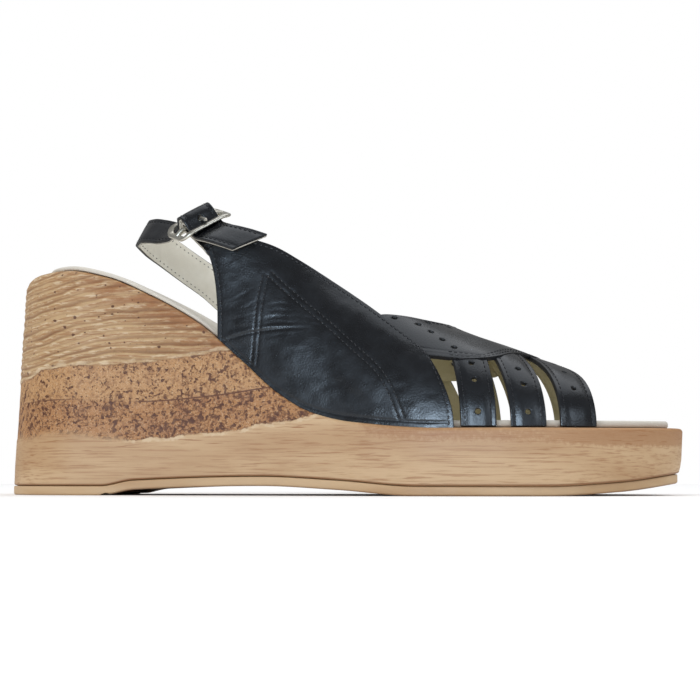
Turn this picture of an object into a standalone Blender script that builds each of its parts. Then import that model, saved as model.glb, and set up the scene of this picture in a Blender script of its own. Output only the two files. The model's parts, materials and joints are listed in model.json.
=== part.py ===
"""Platform sandal for the right foot: wedge unit, tread layer, insole, upper, heel strap and buckle.

Sizes are in millimetres, measured from the back of the heel. X runs to the toe, Y to the inner
(medial) side and Z up, and the finished pieces stand centred on the floor in metres.
"""
import math

import bmesh
import bpy
import numpy as np
from mathutils import Vector

MM = 0.001
LENGTH = 236.0
MIDDLE = 118.125
GAP = 0.3

# Plan outline of the sole, without its rounded ends
OUTLINE = (
    # x, outer half width, inner half width
    (0.0, 26.0, 26.0),
    (30.0, 26.5, 26.5),
    (60.0, 27.6, 25.6),
    (90.0, 30.6, 24.8),
    (115.0, 34.6, 27.8),
    (135.0, 38.6, 33.2),
    (155.0, 41.2, 38.2),
    (175.0, 40.6, 41.2),
    (195.0, 37.6, 41.0),
    (215.0, 32.0, 39.0),
    (236.0, 26.0, 36.0),
)
HEEL_ROUND = 29.0
HEEL_POWER = 2.1
TOE_ROUND = 50.0
TOE_POWER = 2.25

# Top of the wedge unit along its edge
FOOTBED = (
    # x, height
    (0.0, 78.4),
    (22.0, 78.0),
    (38.0, 75.2),
    (55.0, 68.4),
    (71.0, 59.6),
    (88.0, 45.4),
    (100.0, 34.8),
    (112.0, 27.8),
    (126.0, 24.4),
    (155.0, 22.2),
    (200.0, 22.2),
    (236.0, 22.6),
)

# Underside: heel patch, raised waist, tread and toe spring
UNDERSIDE = (
    # x, height
    (0.0, 0.0),
    (38.6, 0.0),
    (50.0, 1.9),
    (95.0, 3.2),
    (122.0, 1.9),
    (148.0, 0.0),
    (190.0, 0.0),
    (214.0, 1.3),
    (236.0, 4.4),
)
BREAST_GROOVE = (
    # x, depth
    (38.6, 0.0),
    (40.0, 1.5),
    (41.6, 0.0),
)
TREAD_THICK = 3.1
TREAD_RINGS = (
    # inset, rise, share of the groove
    (1.0, 0.0, 1.0),
    (0.25, 0.75, 0.6),
    (0.25, 2.3, 0.0),
    (1.0, TREAD_THICK, 0.0),
)
TREAD_TOE_INSET = 1.7
TREAD_MARKS = (38.6, 40.0, 41.6, 148.0, 190.0)
HEEL_SETBACK = 3.4
SETBACK_END = 70.0
HEEL_TAPER = 1.6
TAPER_ENDS = (60.0, 120.0)
HEEL_TOP = 78.0
STATION_STEP = 7.0
STATION_MERGE = 0.25

# Edges of the wedge unit
FOOT_INSET = 1.2
FOOT_EDGE = 0.15
FOOT_RISE = 1.0
TOE_UNDERCUT = 1.5
UNDERCUT_START = 185.0
RIM_ROUND = 1.2
HEEL_RIM_ROUND = 5.2
HEEL_RIM_ENDS = (3.0, 30.0)

# Insole board
SOCK_MARGIN = 2.0
SOCK_HEEL_MARGIN = 7.2
SOCK_HEEL_END = 34.0
SOCK_UPPER_MARGIN = 2.8
SOCK_UPPER_ENDS = (66.0, 82.0)
SOCK_THICK = 1.5
SOCK_PADDING = 0.7
SOCK_PADDING_ENDS = (66.0, 100.0)
SOCK_RINGS = (
    # inset, share of the thickness
    (0.4, 0.0),
    (0.0, 0.25),
    (0.0, 0.7),
    (0.6, 1.0),
)

# Crest of the foot form above the edge of the sole
CREST = (
    # x, height
    (60.0, 92.0),
    (80.0, 80.0),
    (97.0, 70.0),
    (118.0, 57.0),
    (131.0, 49.5),
    (142.0, 43.6),
    (151.0, 39.2),
    (160.0, 35.2),
    (174.0, 30.0),
    (186.0, 25.4),
    (197.0, 21.8),
    (212.0, 18.0),
)
CREST_Y = 3.0
SECTION_POWER = 2.5
LAST_INSET = 2.2
LEATHER = 1.7

# Side view of the quarters
QUARTER_REAR = (
    # x, height, from the sole edge up
    (79.3, None),
    (79.2, 62.0),
    (78.6, 70.0),
    (77.4, 77.0),
    (75.6, 82.5),
    (73.8, 85.6),
)
QUARTER_TOP_OUTER = (
    # x, height, from the ear to the front corner
    (73.8, 85.6),
    (79.0, 88.4),
    (85.0, 88.6),
    (91.0, 87.2),
    (98.0, 84.8),
    (107.0, 79.6),
    (118.0, 72.4),
    (129.5, 64.4),
    (138.0, 58.0),
    (146.0, 51.6),
    (151.5, 46.4),
)
QUARTER_TOP_INNER = (
    # x, height, from the rounded rear corner to the front corner
    (76.8, 79.0),
    (80.5, 82.6),
    (86.0, 83.8),
    (92.0, 83.2),
    (98.0, 81.4),
    (107.0, 77.0),
    (118.0, 70.6),
    (129.5, 63.4),
    (138.0, 57.6),
    (146.0, 51.6),
    (151.5, 46.4),
)
QUARTER_REAR_INNER = (
    # x, height, from the sole edge up
    (79.3, None),
    (79.2, 62.0),
    (78.6, 69.0),
    (77.4, 75.0),
    (76.8, 79.0),
)
QUARTER_FRONT = (
    # x, height, from the sole edge up
    (160.5, None),
    (160.0, 27.4),
    (158.4, 33.0),
    (155.5, 39.6),
    (151.5, 46.4),
)
QUARTER_LIFT = 0.7
QUARTER_ACROSS = 24
QUARTER_UP = 9

# Vamp panel: where its back and front edges lie at each angle round the foot
VAMP = (
    # angle, back edge x, front edge x
    (33.0, 137.0, 171.0),
    (40.0, 134.0, 175.0),
    (47.0, 131.5, 178.0),
    (52.0, 134.0, 180.0),
    (56.0, 146.0, 181.5),
    (60.0, 153.0, 183.0),
    (70.0, 157.0, 186.0),
    (90.0, 158.0, 188.0),
)
VAMP_LIFT = 0.1
VAMP_ACROSS = 25
VAMP_ALONG = 8

# Side tabs and toe strap: centre line and width at the outer foot, the crest and the inner foot
STRAPS = (
    # name, outer x, crest x, inner x, width, last angle
    ("rear_tab", 168.4, 158.6, 166.8, 11.8, 47.0),
    ("front_tab", 184.7, 170.8, 182.6, 11.6, 44.0),
    ("toe_strap", 201.0, 188.0, 198.6, 11.8, 90.0),
)
STRAP_LIFT = -0.5
TAB_ROWS = 8
TOE_STRAP_ROWS = 25

# Buckle frame: centre, strap direction, cross direction and outward normal
BUCKLE_CENTRE = (70.5, -20.0, 94.8)
BUCKLE_RUN = (0.61, -0.74, -0.30)
BUCKLE_CROSS = (0.745, 0.445, 0.500)
FRAME_HALF_RUN = 6.8
FRAME_HALF_CROSS = 9.4
FRAME_CORNER = 3.0
FRAME_WIRE = 1.9
END_DROOP = 1.5
DROOP_START = 5.8
STRAP_WIDTH = 12.0
STRAP_THICK = 1.5
EAR_WIDTH = 11.0
EAR_THICK = 1.1

# Heel strap between the inner quarter and the buckle
SLING = (
    # x, y, z, width direction x, y, z
    (66.0, 20.6, 78.0, 0.50, 0.02, 0.86),
    (58.0, 18.4, 83.8, 0.44, 0.04, 0.90),
    (50.8, 14.8, 89.2, 0.36, 0.14, 0.92),
    (46.0, 9.8, 92.8, 0.28, 0.32, 0.90),
    (44.8, 4.4, 94.4, 0.28, 0.44, 0.84),
    (47.6, -0.8, 94.6, 0.38, 0.50, 0.78),
    (52.4, -4.8, 93.8, 0.50, 0.50, 0.70),
    (57.4, -8.2, 92.6, 0.61, 0.48, 0.62),
    (62.0, -11.2, 92.2, 0.70, 0.45, 0.54),
)
# Strap over the middle bar, in the frame's own plane
HUMP = (
    # along, above
    (-6.9, -2.3),
    (-5.0, -1.1),
    (-3.5, 0.9),
    (-2.3, 2.9),
    (0.0, 3.9),
    (2.3, 2.9),
    (3.5, 0.9),
    (5.0, -1.1),
    (6.9, -2.3),
)
TAIL = (
    # x, y, z, width direction x, y, z
    (78.8, -26.7, 89.6, 0.74, 0.46, 0.48),
    (82.2, -27.8, 88.6, 0.69, 0.49, 0.52),
    (86.4, -28.4, 87.3, 0.62, 0.53, 0.57),
    (90.6, -28.6, 85.8, 0.56, 0.56, 0.60),
)
TAIL_SLANT = 2.2
TAIL_ROWS = 9
STRAP_ROWS = 74
# Strap's root under the inner quarter, and half its width in side view
SLING_ROOT = (
    # x, height
    (94.0, 59.6),
    (87.0, 63.8),
    (80.0, 68.0),
    (73.0, 72.2),
)
ROOT_HALF_WIDTH = (3.1, 5.1)
ROOT_CLEARANCE = 0.35

# Ear from the outer quarter to the middle bar
EAR_ROOT = (
    # x, height, lift
    (84.0, 77.5, 0.0),
    (82.4, 81.0, 0.0),
    (80.4, 84.4, -0.2),
)
EAR_ROOT_WIDE = (0.88, 0.10, 0.46)
EAR_RISE = (
    # along, above
    (9.0, -6.2),
    (6.0, -4.7),
    (3.0, -3.1),
)
EAR_HOOK = (255.0, 225.0, 195.0, 165.0, 135.0, 105.0, 75.0, 45.0)

# Prong, with the slot in the ear and the hole in the strap as corners along, across and above
PRONG_WIRE = 1.5
PRONG_START = 0.6
PRONG_OVERHANG = 1.6
PRONG_SLOT = ((-4.0, -PRONG_WIRE, -4.0), (3.2, PRONG_WIRE, 4.0))
PRONG_HOLE = ((0.8, -PRONG_WIRE, 0.6), (7.0, PRONG_WIRE, 3.1))

# Plain colours
WOOD = (0.49, 0.33, 0.19)
STAIN = (0.24, 0.13, 0.07)
SOCK = (0.55, 0.54, 0.48)
BLACK = (0.02, 0.022, 0.028)
SILVER = (0.41, 0.39, 0.34)


def table_value(table, column, x):
    """Smooth value of one column of a table, read along its first column."""
    xs = np.array([row[0] for row in table], dtype=float)
    ys = np.array([row[column] for row in table], dtype=float)
    step = np.diff(xs)
    slope = np.diff(ys) / step
    tangent = np.zeros_like(ys)
    tangent[0] = slope[0]
    tangent[-1] = slope[-1]
    for i in range(1, len(xs) - 1):
        if slope[i - 1] * slope[i] > 0.0:
            tangent[i] = 2.0 * slope[i - 1] * slope[i] / (slope[i - 1] + slope[i])
    i = int(np.clip(np.searchsorted(xs, x) - 1, 0, len(step) - 1))
    t = min(max((x - xs[i]) / step[i], 0.0), 1.0)
    first = ys[i] + t * t * (3.0 - 2.0 * t) * (ys[i + 1] - ys[i])
    return first + step[i] * t * (1.0 - t) * (tangent[i] * (1.0 - t) - tangent[i + 1] * t)


def straight_value(table, x):
    """Height of a table of straight stretches."""
    return float(np.interp(x, [row[0] for row in table], [row[1] for row in table]))


def ramp(x, low, high):
    """Smooth step from 0 at low to 1 at high."""
    t = min(max((x - low) / (high - low), 0.0), 1.0)
    return t * t * (3.0 - 2.0 * t)


def half_width(x, side):
    """Half width of the sole outline on the outer (-1) or inner (1) side."""
    body = table_value(OUTLINE, 1 if side < 0 else 2, x)
    heel = max(0.0, 1.0 - x / HEEL_ROUND)
    toe = max(0.0, (x - LENGTH + TOE_ROUND) / TOE_ROUND)
    body *= max(0.0, 1.0 - heel ** HEEL_POWER) ** (1.0 / HEEL_POWER)
    return body * max(0.0, 1.0 - toe ** TOE_POWER) ** (1.0 / TOE_POWER)


def footbed(x):
    """Height of the top of the wedge unit."""
    return table_value(FOOTBED, 1, x)


def underside(x):
    """Height of the underside above the floor."""
    return table_value(UNDERSIDE, 1, x)


def breast_groove(x):
    """Depth of the groove in front of the heel patch."""
    return straight_value(BREAST_GROOVE, x)


def side_taper(x, z):
    """How far the heel's side leans in at a height."""
    return HEEL_TAPER * z / HEEL_TOP * (1.0 - ramp(x, *TAPER_ENDS))


def setback(x, z):
    """How far the heel's back leans forward at a height."""
    return HEEL_SETBACK * z / HEEL_TOP * (1.0 - ramp(x, 0.0, SETBACK_END))


def stations(extra=()):
    """Distances along the sole, closer together at the rounded ends."""
    heel = [HEEL_ROUND * (1.0 - math.cos(math.radians(a))) for a in range(0, 90, 9)]
    toe = [LENGTH - TOE_ROUND * (1.0 - math.cos(math.radians(a))) for a in range(0, 90, 6)]
    body = list(np.arange(HEEL_ROUND, LENGTH - TOE_ROUND + 1.0, STATION_STEP))
    kept = []
    for x in sorted(heel + body + toe + list(extra)):
        if kept and x - kept[-1] < STATION_MERGE and x not in extra:
            continue
        kept.append(x)
    kept[-1] = LENGTH
    return kept


def outline_loop(xs):
    """Sole outline as a loop: heel tip, outer side to the toe, toe tip, inner side back."""
    loop = [(x, -half_width(x, -1)) for x in xs]
    loop += [(x, half_width(x, 1)) for x in reversed(xs[1:-1])]
    return loop


def inset_loop(loop, distance):
    """Loop moved inward; distance is a function of x."""
    points = [Vector(p) for p in loop]
    count = len(points)
    moved = []
    for i, point in enumerate(points):
        along = (points[(i + 1) % count] - points[i - 1]).normalized()
        inward = Vector((-along.y, along.x))
        moved.append(point + inward * distance(point.x))
    return moved


def new_object(name, mesh, collection):
    """Object in a collection."""
    item = bpy.data.objects.new(name, mesh)
    collection.objects.link(item)
    return item


def mesh_from(name, bm):
    """Mesh from a bmesh, with its normals turned outward."""
    bmesh.ops.remove_doubles(bm, verts=bm.verts, dist=0.00001 * MM)
    bmesh.ops.recalc_face_normals(bm, faces=bm.faces)
    mesh = bpy.data.meshes.new(name)
    bm.to_mesh(mesh)
    bm.free()
    return mesh


def place(x, y, z):
    """Point in millimetres from the heel as a point in metres about the middle."""
    return Vector(((x - MIDDLE) * MM, y * MM, z * MM))


def loft(name, rings, collection):
    """Closed piece through matching rings, capped by strips that cross from side to side."""
    bm = bmesh.new()
    made = [[bm.verts.new(place(*p)) for p in ring] for ring in rings]
    count = len(made[0])
    for low, high in zip(made, made[1:]):
        for i in range(count):
            j = (i + 1) % count
            bm.faces.new((low[i], low[j], high[j], high[i]))
    half = count // 2
    for ring in (made[0], made[-1]):
        for i in range(half):
            a, b = ring[i], ring[i + 1]
            c, d = ring[(count - i - 1) % count], ring[(count - i) % count]
            corners = []
            for corner in (a, b, c, d):
                if corner not in corners:
                    corners.append(corner)
            bm.faces.new(corners)
    return new_object(name, mesh_from(name, bm), collection)


def unit_rings():
    """Rings of the wedge unit from its underside up to its rounded top edge."""
    loop = outline_loop(stations())
    rings = []

    def ring(inset, height):
        points = []
        for p in inset_loop(loop, inset):
            z = height(p.x)
            q = inset_loop_point(p, z)
            points.append((q.x + setback(p.x, z), q.y, z))
        rings.append(points)

    def inset_loop_point(p, z):
        lean = side_taper(p.x, z)
        wide = max(half_width(p.x, -1 if p.y < 0 else 1), 1.0)
        return Vector((p.x, p.y * (1.0 - lean / wide)))

    def low(x):
        return underside(x) + TREAD_THICK + GAP

    def undercut(x):
        return TOE_UNDERCUT * ramp(x, UNDERCUT_START, LENGTH)

    def top_round(x):
        return RIM_ROUND + HEEL_RIM_ROUND * (1.0 - ramp(x, *HEEL_RIM_ENDS))

    ring(lambda x: FOOT_INSET + undercut(x), low)
    ring(lambda x: FOOT_EDGE + 0.8 * undercut(x), lambda x: low(x) + FOOT_RISE)
    for part in (0.3, 0.6):
        ring(lambda x, part=part: 0.5 * undercut(x) * (1.0 - part),
             lambda x, part=part: low(x) + part * (footbed(x) - low(x)))
    for angle in (0.0, 30.0, 60.0, 90.0):
        turn = math.radians(angle)
        ring(lambda x, t=turn: top_round(x) * (1.0 - math.cos(t)),
             lambda x, t=turn: footbed(x) - top_round(x) * (1.0 - math.sin(t)))
    return rings


def tread_rings():
    """Rings of the tread layer, a little inside the unit at the toe."""
    loop = outline_loop(stations(TREAD_MARKS))
    rings = []
    for inset, rise, cut in TREAD_RINGS:
        points = []
        for p in inset_loop(loop, lambda x, i=inset: i + TREAD_TOE_INSET * ramp(x, 120.0, LENGTH)):
            points.append((p.x, p.y, underside(p.x) + rise + cut * breast_groove(p.x)))
        rings.append(points)
    return rings


def insole_rings():
    """Rings of the insole board on the wedge unit."""
    loop = outline_loop(stations())

    def margin(x):
        heel = SOCK_HEEL_MARGIN * (1.0 - ramp(x, 0.0, SOCK_HEEL_END))
        return SOCK_MARGIN + heel + SOCK_UPPER_MARGIN * ramp(x, *SOCK_UPPER_ENDS)

    def thick(x):
        return SOCK_THICK + SOCK_PADDING * ramp(x, *SOCK_PADDING_ENDS)

    rings = []
    for inset, part in SOCK_RINGS:
        points = []
        for p in inset_loop(loop, lambda x, i=inset: margin(x) + i):
            z = footbed(p.x) + GAP + part * thick(p.x)
            points.append((p.x + setback(p.x, z), p.y, z))
        rings.append(points)
    return rings


def feather(x):
    """Height at which the upper starts."""
    return footbed(x) + GAP


def form_width(x, side):
    """Half width of the foot form from its crest."""
    edge = half_width(x, side) - side_taper(x, footbed(x)) - LAST_INSET
    return edge + CREST_Y if side < 0 else edge - CREST_Y


def wall_point(x, z, side):
    """Point of the foot form seen from the side at x and z."""
    part = max(0.0, z - feather(x)) / table_value(CREST, 1, x)
    across = form_width(x, side) * max(0.0, 1.0 - part ** SECTION_POWER) ** (1.0 / SECTION_POWER)
    return Vector((x, CREST_Y + side * across, z))


def wall(x, z, side, lift):
    """Point above the foot form seen from the side, with its outward normal."""
    point = wall_point(x, z, side)
    along = wall_point(x + 0.5, z, side) - wall_point(x - 0.5, z, side)
    up = wall_point(x, z + 1.0, side) - wall_point(x, z, side)
    normal = along.cross(up).normalized()
    if normal.y * side < 0.0:
        normal = -normal
    return point + normal * lift, normal


def form_point(x, angle):
    """Point of the foot form at an angle round its section, from the outer edge to the inner."""
    turn = math.radians(angle)
    side = -1 if angle <= 90.0 else 1
    across = abs(math.cos(turn)) / form_width(x, side)
    up = math.sin(turn) / table_value(CREST, 1, x)
    radius = (across ** SECTION_POWER + up ** SECTION_POWER) ** (-1.0 / SECTION_POWER)
    y = CREST_Y - radius * math.cos(turn)
    return Vector((x, y, feather(x) + radius * math.sin(turn)))


def form(x, angle, lift):
    """Point above the foot form at an angle round its section."""
    along = form_point(x + 0.5, angle) - form_point(x - 0.5, angle)
    low = max(angle - 0.5, 0.0)
    high = min(angle + 0.5, 180.0)
    turn = form_point(x, high) - form_point(x, low)
    return form_point(x, angle) + along.cross(turn).normalized() * lift


def spread(rows, count):
    """Evenly spaced points on the smooth curve through rows of x and z."""
    points = np.array(rows, dtype=float)
    steps = np.hypot(np.diff(points[:, 0]), np.diff(points[:, 1]))
    along = np.concatenate(([0.0], np.cumsum(steps)))
    table_x = [(d, p[0]) for d, p in zip(along, points)]
    table_z = [(d, p[1]) for d, p in zip(along, points)]
    result = []
    for d in np.linspace(0.0, along[-1], count):
        result.append(np.array((table_value(table_x, 1, d), table_value(table_z, 1, d))))
    return result


def sheet(name, grid, thick, inward, collection):
    """Open surface from a grid of points, given its thickness."""
    bm = bmesh.new()
    made = [[bm.verts.new(place(*p)) for p in row] for row in grid]
    for low, high in zip(made, made[1:]):
        for i in range(len(low) - 1):
            bm.faces.new((low[i], low[i + 1], high[i + 1], high[i]))
    mesh = bpy.data.meshes.new(name)
    bm.to_mesh(mesh)
    bm.free()
    item = new_object(name, mesh, collection)
    shell = item.modifiers.new("thickness", 'SOLIDIFY')
    shell.thickness = thick * MM
    shell.offset = inward
    shell.use_even_offset = True
    return item


def quarter(name, side, rear_rows, top_rows, collection):
    """One quarter as a four-sided patch drawn in side view and laid on the foot form."""
    across, up = QUARTER_ACROSS, QUARTER_UP

    def grounded(rows):
        return [(x, feather(x) if z is None else z) for x, z in rows]

    rear = spread(grounded(rear_rows), up)
    front = spread(grounded(QUARTER_FRONT), up)
    top = spread(top_rows, across)
    low = [np.array((x, feather(x))) for x in np.linspace(rear[0][0], front[0][0], across)]
    grid = []
    for j in range(up):
        t = j / (up - 1)
        row = []
        for i in range(across):
            s = i / (across - 1)
            p = (1 - t) * low[i] + t * top[i] + (1 - s) * rear[j] + s * front[j]
            p = p - (1 - s) * (1 - t) * low[0] - s * (1 - t) * low[-1]
            p = p - (1 - s) * t * top[0] - s * t * top[-1]
            z = max(float(p[1]), feather(float(p[0])))
            row.append(wall(float(p[0]), z, side, QUARTER_LIFT)[0])
        grid.append(row)
    return sheet(name, grid, LEATHER, 1.0 if side > 0 else -1.0, collection)


def vamp_panel(collection):
    """Panel over the toes' roots with its two wings beside the throat."""
    first = VAMP[0][0]
    grid = []
    for angle in np.linspace(first, 180.0 - first, VAMP_ACROSS):
        mirrored = angle if angle <= 90.0 else 180.0 - angle
        back = table_value(VAMP, 1, mirrored)
        front = table_value(VAMP, 2, mirrored)
        grid.append([form(x, angle, VAMP_LIFT) for x in np.linspace(back, front, VAMP_ALONG)])
    return sheet("vamp_panel", grid, LEATHER, -1.0, collection)


def strap_row(outer_x, crest_x, inner_x, width, angle):
    """Three points across a strap at one angle round the foot."""
    c = math.cos(math.radians(angle))
    centre = crest_x + 0.5 * (outer_x - inner_x) * c + (0.5 * (outer_x + inner_x) - crest_x) * c * c
    return [form(centre + part * width, angle, STRAP_LIFT) for part in (-0.5, 0.0, 0.5)]


def side_strap(name, outer_x, crest_x, inner_x, width, angles, collection):
    """Strap or tab laid round the foot form."""
    grid = [strap_row(outer_x, crest_x, inner_x, width, a) for a in angles]
    return sheet(name, grid, LEATHER, -1.0, collection)


def frame_axes():
    """Centre and the three directions of the buckle."""
    cross = Vector(BUCKLE_CROSS).normalized()
    run = Vector(BUCKLE_RUN)
    run = (run - cross * run.dot(cross)).normalized()
    return Vector(BUCKLE_CENTRE), run, cross, run.cross(cross)


def in_frame(along, side, above):
    """Point given along, across and above the buckle."""
    centre, run, cross, normal = frame_axes()
    return centre + run * along + cross * side + normal * above


def ribbon_grid(rows, width):
    """Rows of three points across a strap from centres and width directions."""
    grid = []
    for centre, wide in rows:
        grid.append([centre + wide.normalized() * width * part for part in (-0.5, 0.0, 0.5)])
    return grid


def smooth_rows(rows, count):
    """More rows on a smooth path through the given centres and width directions."""
    values = np.array([tuple(c) + tuple(w.normalized()) for c, w in rows])
    steps = np.linalg.norm(np.diff(values[:, :3], axis=0), axis=1)
    along = np.concatenate(([0.0], np.cumsum(steps)))
    tables = [[(d, v[k]) for d, v in zip(along, values)] for k in range(6)]
    result = []
    for d in np.linspace(0.0, along[-1], count):
        v = [table_value(tables[k], 1, d) for k in range(6)]
        result.append((Vector(v[:3]), Vector(v[3:])))
    return result


def sling_rows():
    """Centres and width directions of the whole heel strap."""
    rows = []
    depth = -(LEATHER - QUARTER_LIFT) - GAP - STRAP_THICK / 2.0 - ROOT_CLEARANCE
    half_x, half_z = ROOT_HALF_WIDTH
    for x, z in SLING_ROOT:
        wide = wall_point(x + half_x, z + half_z, 1) - wall_point(x - half_x, z - half_z, 1)
        rows.append((wall(x, z, 1, depth)[0], wide))
    for x, y, z, wx, wy, wz in SLING:
        rows.append((Vector((x, y, z)), Vector((wx, wy, wz))))
    cross = frame_axes()[2]
    for along, above in HUMP:
        rows.append((in_frame(along, 0.0, above), cross))
    for x, y, z, wx, wy, wz in TAIL:
        rows.append((Vector((x, y, z)), Vector((wx, wy, wz))))
    return rows


def heel_strap(collection):
    """Heel strap from the inner quarter round the heel, through the buckle, to its tail."""
    grid = ribbon_grid(smooth_rows(sling_rows(), STRAP_ROWS), STRAP_WIDTH)
    ahead = (grid[-1][1] - grid[-2][1]).normalized()
    ends = grid[-TAIL_ROWS:]
    for step, row in enumerate(ends):
        share = ((step + 1) / TAIL_ROWS) ** 2
        for part, p in zip((-1.0, 0.0, 1.0), row):
            p += ahead * TAIL_SLANT * part * share
    return sheet("sling_strap", grid, STRAP_THICK, 0.0, collection)


def ear(collection):
    """Ear of the outer quarter, ending in a hook round the buckle's middle bar."""
    cross = frame_axes()[2]
    rows = []
    for x, z, lift in EAR_ROOT:
        rows.append((wall(x, z, -1, lift)[0], Vector(EAR_ROOT_WIDE)))
    for along, above in EAR_RISE:
        rows.append((in_frame(along, 0.0, above), cross))
    middle = FRAME_WIRE / 2.0 + GAP + EAR_THICK / 2.0
    for angle in EAR_HOOK:
        turn = math.radians(angle)
        rows.append((in_frame(middle * math.cos(turn), 0.0, middle * math.sin(turn)), cross))
    return sheet("ear", ribbon_grid(rows, EAR_WIDTH), EAR_THICK, 0.0, collection)


def wire(name, points, radius, closed, collection):
    """Round wire along a line of points."""
    curve = bpy.data.curves.new(name, 'CURVE')
    curve.dimensions = '3D'
    curve.bevel_depth = radius * MM
    curve.bevel_resolution = 2
    curve.use_fill_caps = True
    spline = curve.splines.new('POLY')
    spline.points.add(len(points) - 1)
    for target, p in zip(spline.points, points):
        target.co = (*place(*p), 1.0)
    spline.use_cyclic_u = closed
    source = bpy.data.objects.new(name + "_path", curve)
    collection.objects.link(source)
    bpy.context.view_layer.update()
    shaped = source.evaluated_get(bpy.context.evaluated_depsgraph_get())
    mesh = bpy.data.meshes.new_from_object(shaped)
    mesh.name = name
    bpy.data.objects.remove(source)
    return new_object(name, mesh, collection)


def droop(side):
    """How far the frame bends down towards its ends."""
    share = max(0.0, abs(side) - DROOP_START) / (FRAME_HALF_CROSS - DROOP_START)
    return END_DROOP * share * share


def buckle(collection):
    """Buckle frame with its middle bar, both bent down at their ends."""
    inner_run = FRAME_HALF_RUN - FRAME_CORNER
    inner_cross = FRAME_HALF_CROSS - FRAME_CORNER
    points = []
    for corner, (run_sign, cross_sign) in enumerate(((1, 1), (-1, 1), (-1, -1), (1, -1))):
        for step in range(5):
            turn = math.radians(90.0 * corner + 22.5 * step)
            along = run_sign * inner_run + FRAME_CORNER * math.cos(turn)
            side = cross_sign * inner_cross + FRAME_CORNER * math.sin(turn)
            points.append(in_frame(along, side, -droop(side)))
    frame = wire("buckle_frame", points, FRAME_WIRE / 2.0, True, collection)
    reach = FRAME_HALF_CROSS
    stops = (-reach, -0.5 * (reach + DROOP_START), -DROOP_START, DROOP_START, 0.5 * (reach + DROOP_START), reach)
    bar = wire("middle_bar", [in_frame(0.0, side, -droop(side)) for side in stops],
               FRAME_WIRE / 2.0, False, CUTTERS)
    return frame, bar


def prong(collection):
    """Prong with its eye round the middle bar and its tip on the front of the frame."""
    radius = FRAME_WIRE / 2.0 + GAP + PRONG_WIRE / 2.0
    eye = []
    for step in range(12):
        turn = math.radians(30.0 * step)
        eye.append(in_frame(radius * math.cos(turn), 0.0, radius * math.sin(turn)))
    item = wire("buckle_prong", eye, PRONG_WIRE / 2.0, True, collection)
    tip = FRAME_HALF_RUN + PRONG_OVERHANG
    shaft = wire("prong_shaft", [in_frame(PRONG_START, 0.0, radius), in_frame(tip, 0.0, radius)],
                 PRONG_WIRE / 2.0, False, CUTTERS)
    return item, shaft


def block(name, low, high, collection):
    """Box in the buckle's own directions, used to cut a slot."""
    bm = bmesh.new()
    bmesh.ops.create_cube(bm, size=1.0)
    for v in bm.verts:
        part = [(c + 0.5) * (h - l) + l for c, l, h in zip(v.co, low, high)]
        v.co = place(*in_frame(*part))
    return new_object(name, mesh_from(name, bm), collection)


def combine(item, operation, other):
    """Boolean of one piece with another."""
    modifier = item.modifiers.new(other.name, 'BOOLEAN')
    modifier.operation = operation
    modifier.solver = 'EXACT'
    modifier.object = other
    other.hide_render = True
    other.display_type = 'WIRE'


def finish(item, colour, roughness, metallic):
    """Plain material of a piece."""
    material = bpy.data.materials.new(item.name)
    material.use_nodes = True
    shader = material.node_tree.nodes["Principled BSDF"]
    shader.inputs["Base Color"].default_value = (*colour, 1.0)
    shader.inputs["Roughness"].default_value = roughness
    shader.inputs["Metallic"].default_value = metallic
    item.data.materials.clear()
    item.data.materials.append(material)


for old in list(bpy.data.objects):
    bpy.data.objects.remove(old)
PARTS = bpy.data.collections.new("platform_sandal")
CUTTERS = bpy.data.collections.new("cutters")
bpy.context.scene.collection.children.link(PARTS)
bpy.context.scene.collection.children.link(CUTTERS)

unit = loft("platform_wedge", unit_rings(), PARTS)
tread = loft("outsole", tread_rings(), PARTS)
board = loft("insole", insole_rings(), PARTS)

upper = quarter("upper", -1, QUARTER_REAR, QUARTER_TOP_OUTER, PARTS)
pieces = [quarter("inner_quarter", 1, QUARTER_REAR_INNER, QUARTER_TOP_INNER, CUTTERS)]
pieces.append(vamp_panel(CUTTERS))
for strap_name, outer, crest, inner, wide, last in STRAPS:
    if last >= 90.0:
        pieces.append(side_strap(strap_name, outer, crest, inner, wide,
                                 np.linspace(0.0, 180.0, TOE_STRAP_ROWS), CUTTERS))
        continue
    for label, turns in (("_outer", np.linspace(0.0, last, TAB_ROWS)),
                         ("_inner", np.linspace(180.0 - last, 180.0, TAB_ROWS))):
        pieces.append(side_strap(strap_name + label, outer, crest, inner, wide, turns, CUTTERS))
pieces.append(ear(CUTTERS))
for piece in pieces:
    combine(upper, 'UNION', piece)
slot = block("prong_slot", *PRONG_SLOT, CUTTERS)
combine(upper, 'DIFFERENCE', slot)

strap = heel_strap(PARTS)
hole = block("prong_hole", *PRONG_HOLE, CUTTERS)
combine(strap, 'DIFFERENCE', hole)

frame_piece, middle_bar = buckle(PARTS)
combine(frame_piece, 'UNION', middle_bar)
prong_piece, prong_shaft = prong(PARTS)
combine(prong_piece, 'UNION', prong_shaft)

finish(unit, WOOD, 0.6, 0.0)
finish(tread, STAIN, 0.7, 0.0)
finish(board, SOCK, 0.7, 0.0)
finish(upper, BLACK, 0.4, 0.0)
finish(strap, BLACK, 0.4, 0.0)
finish(frame_piece, SILVER, 0.3, 1.0)
finish(prong_piece, SILVER, 0.3, 1.0)
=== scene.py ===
"""Looks of a right-foot platform sandal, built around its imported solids.

Sizes are in millimetres from the back of the heel, as in the solids: X to the toe, Y to the inner
side of the foot and Z up. The function place turns them into metres about the middle of the part.
"""
import json
import logging
import math
from dataclasses import dataclass, field
from enum import Enum
from typing import Callable, ClassVar, Sequence

import bmesh
import bpy
import numpy as np
from mathutils import Matrix, Vector

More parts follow.
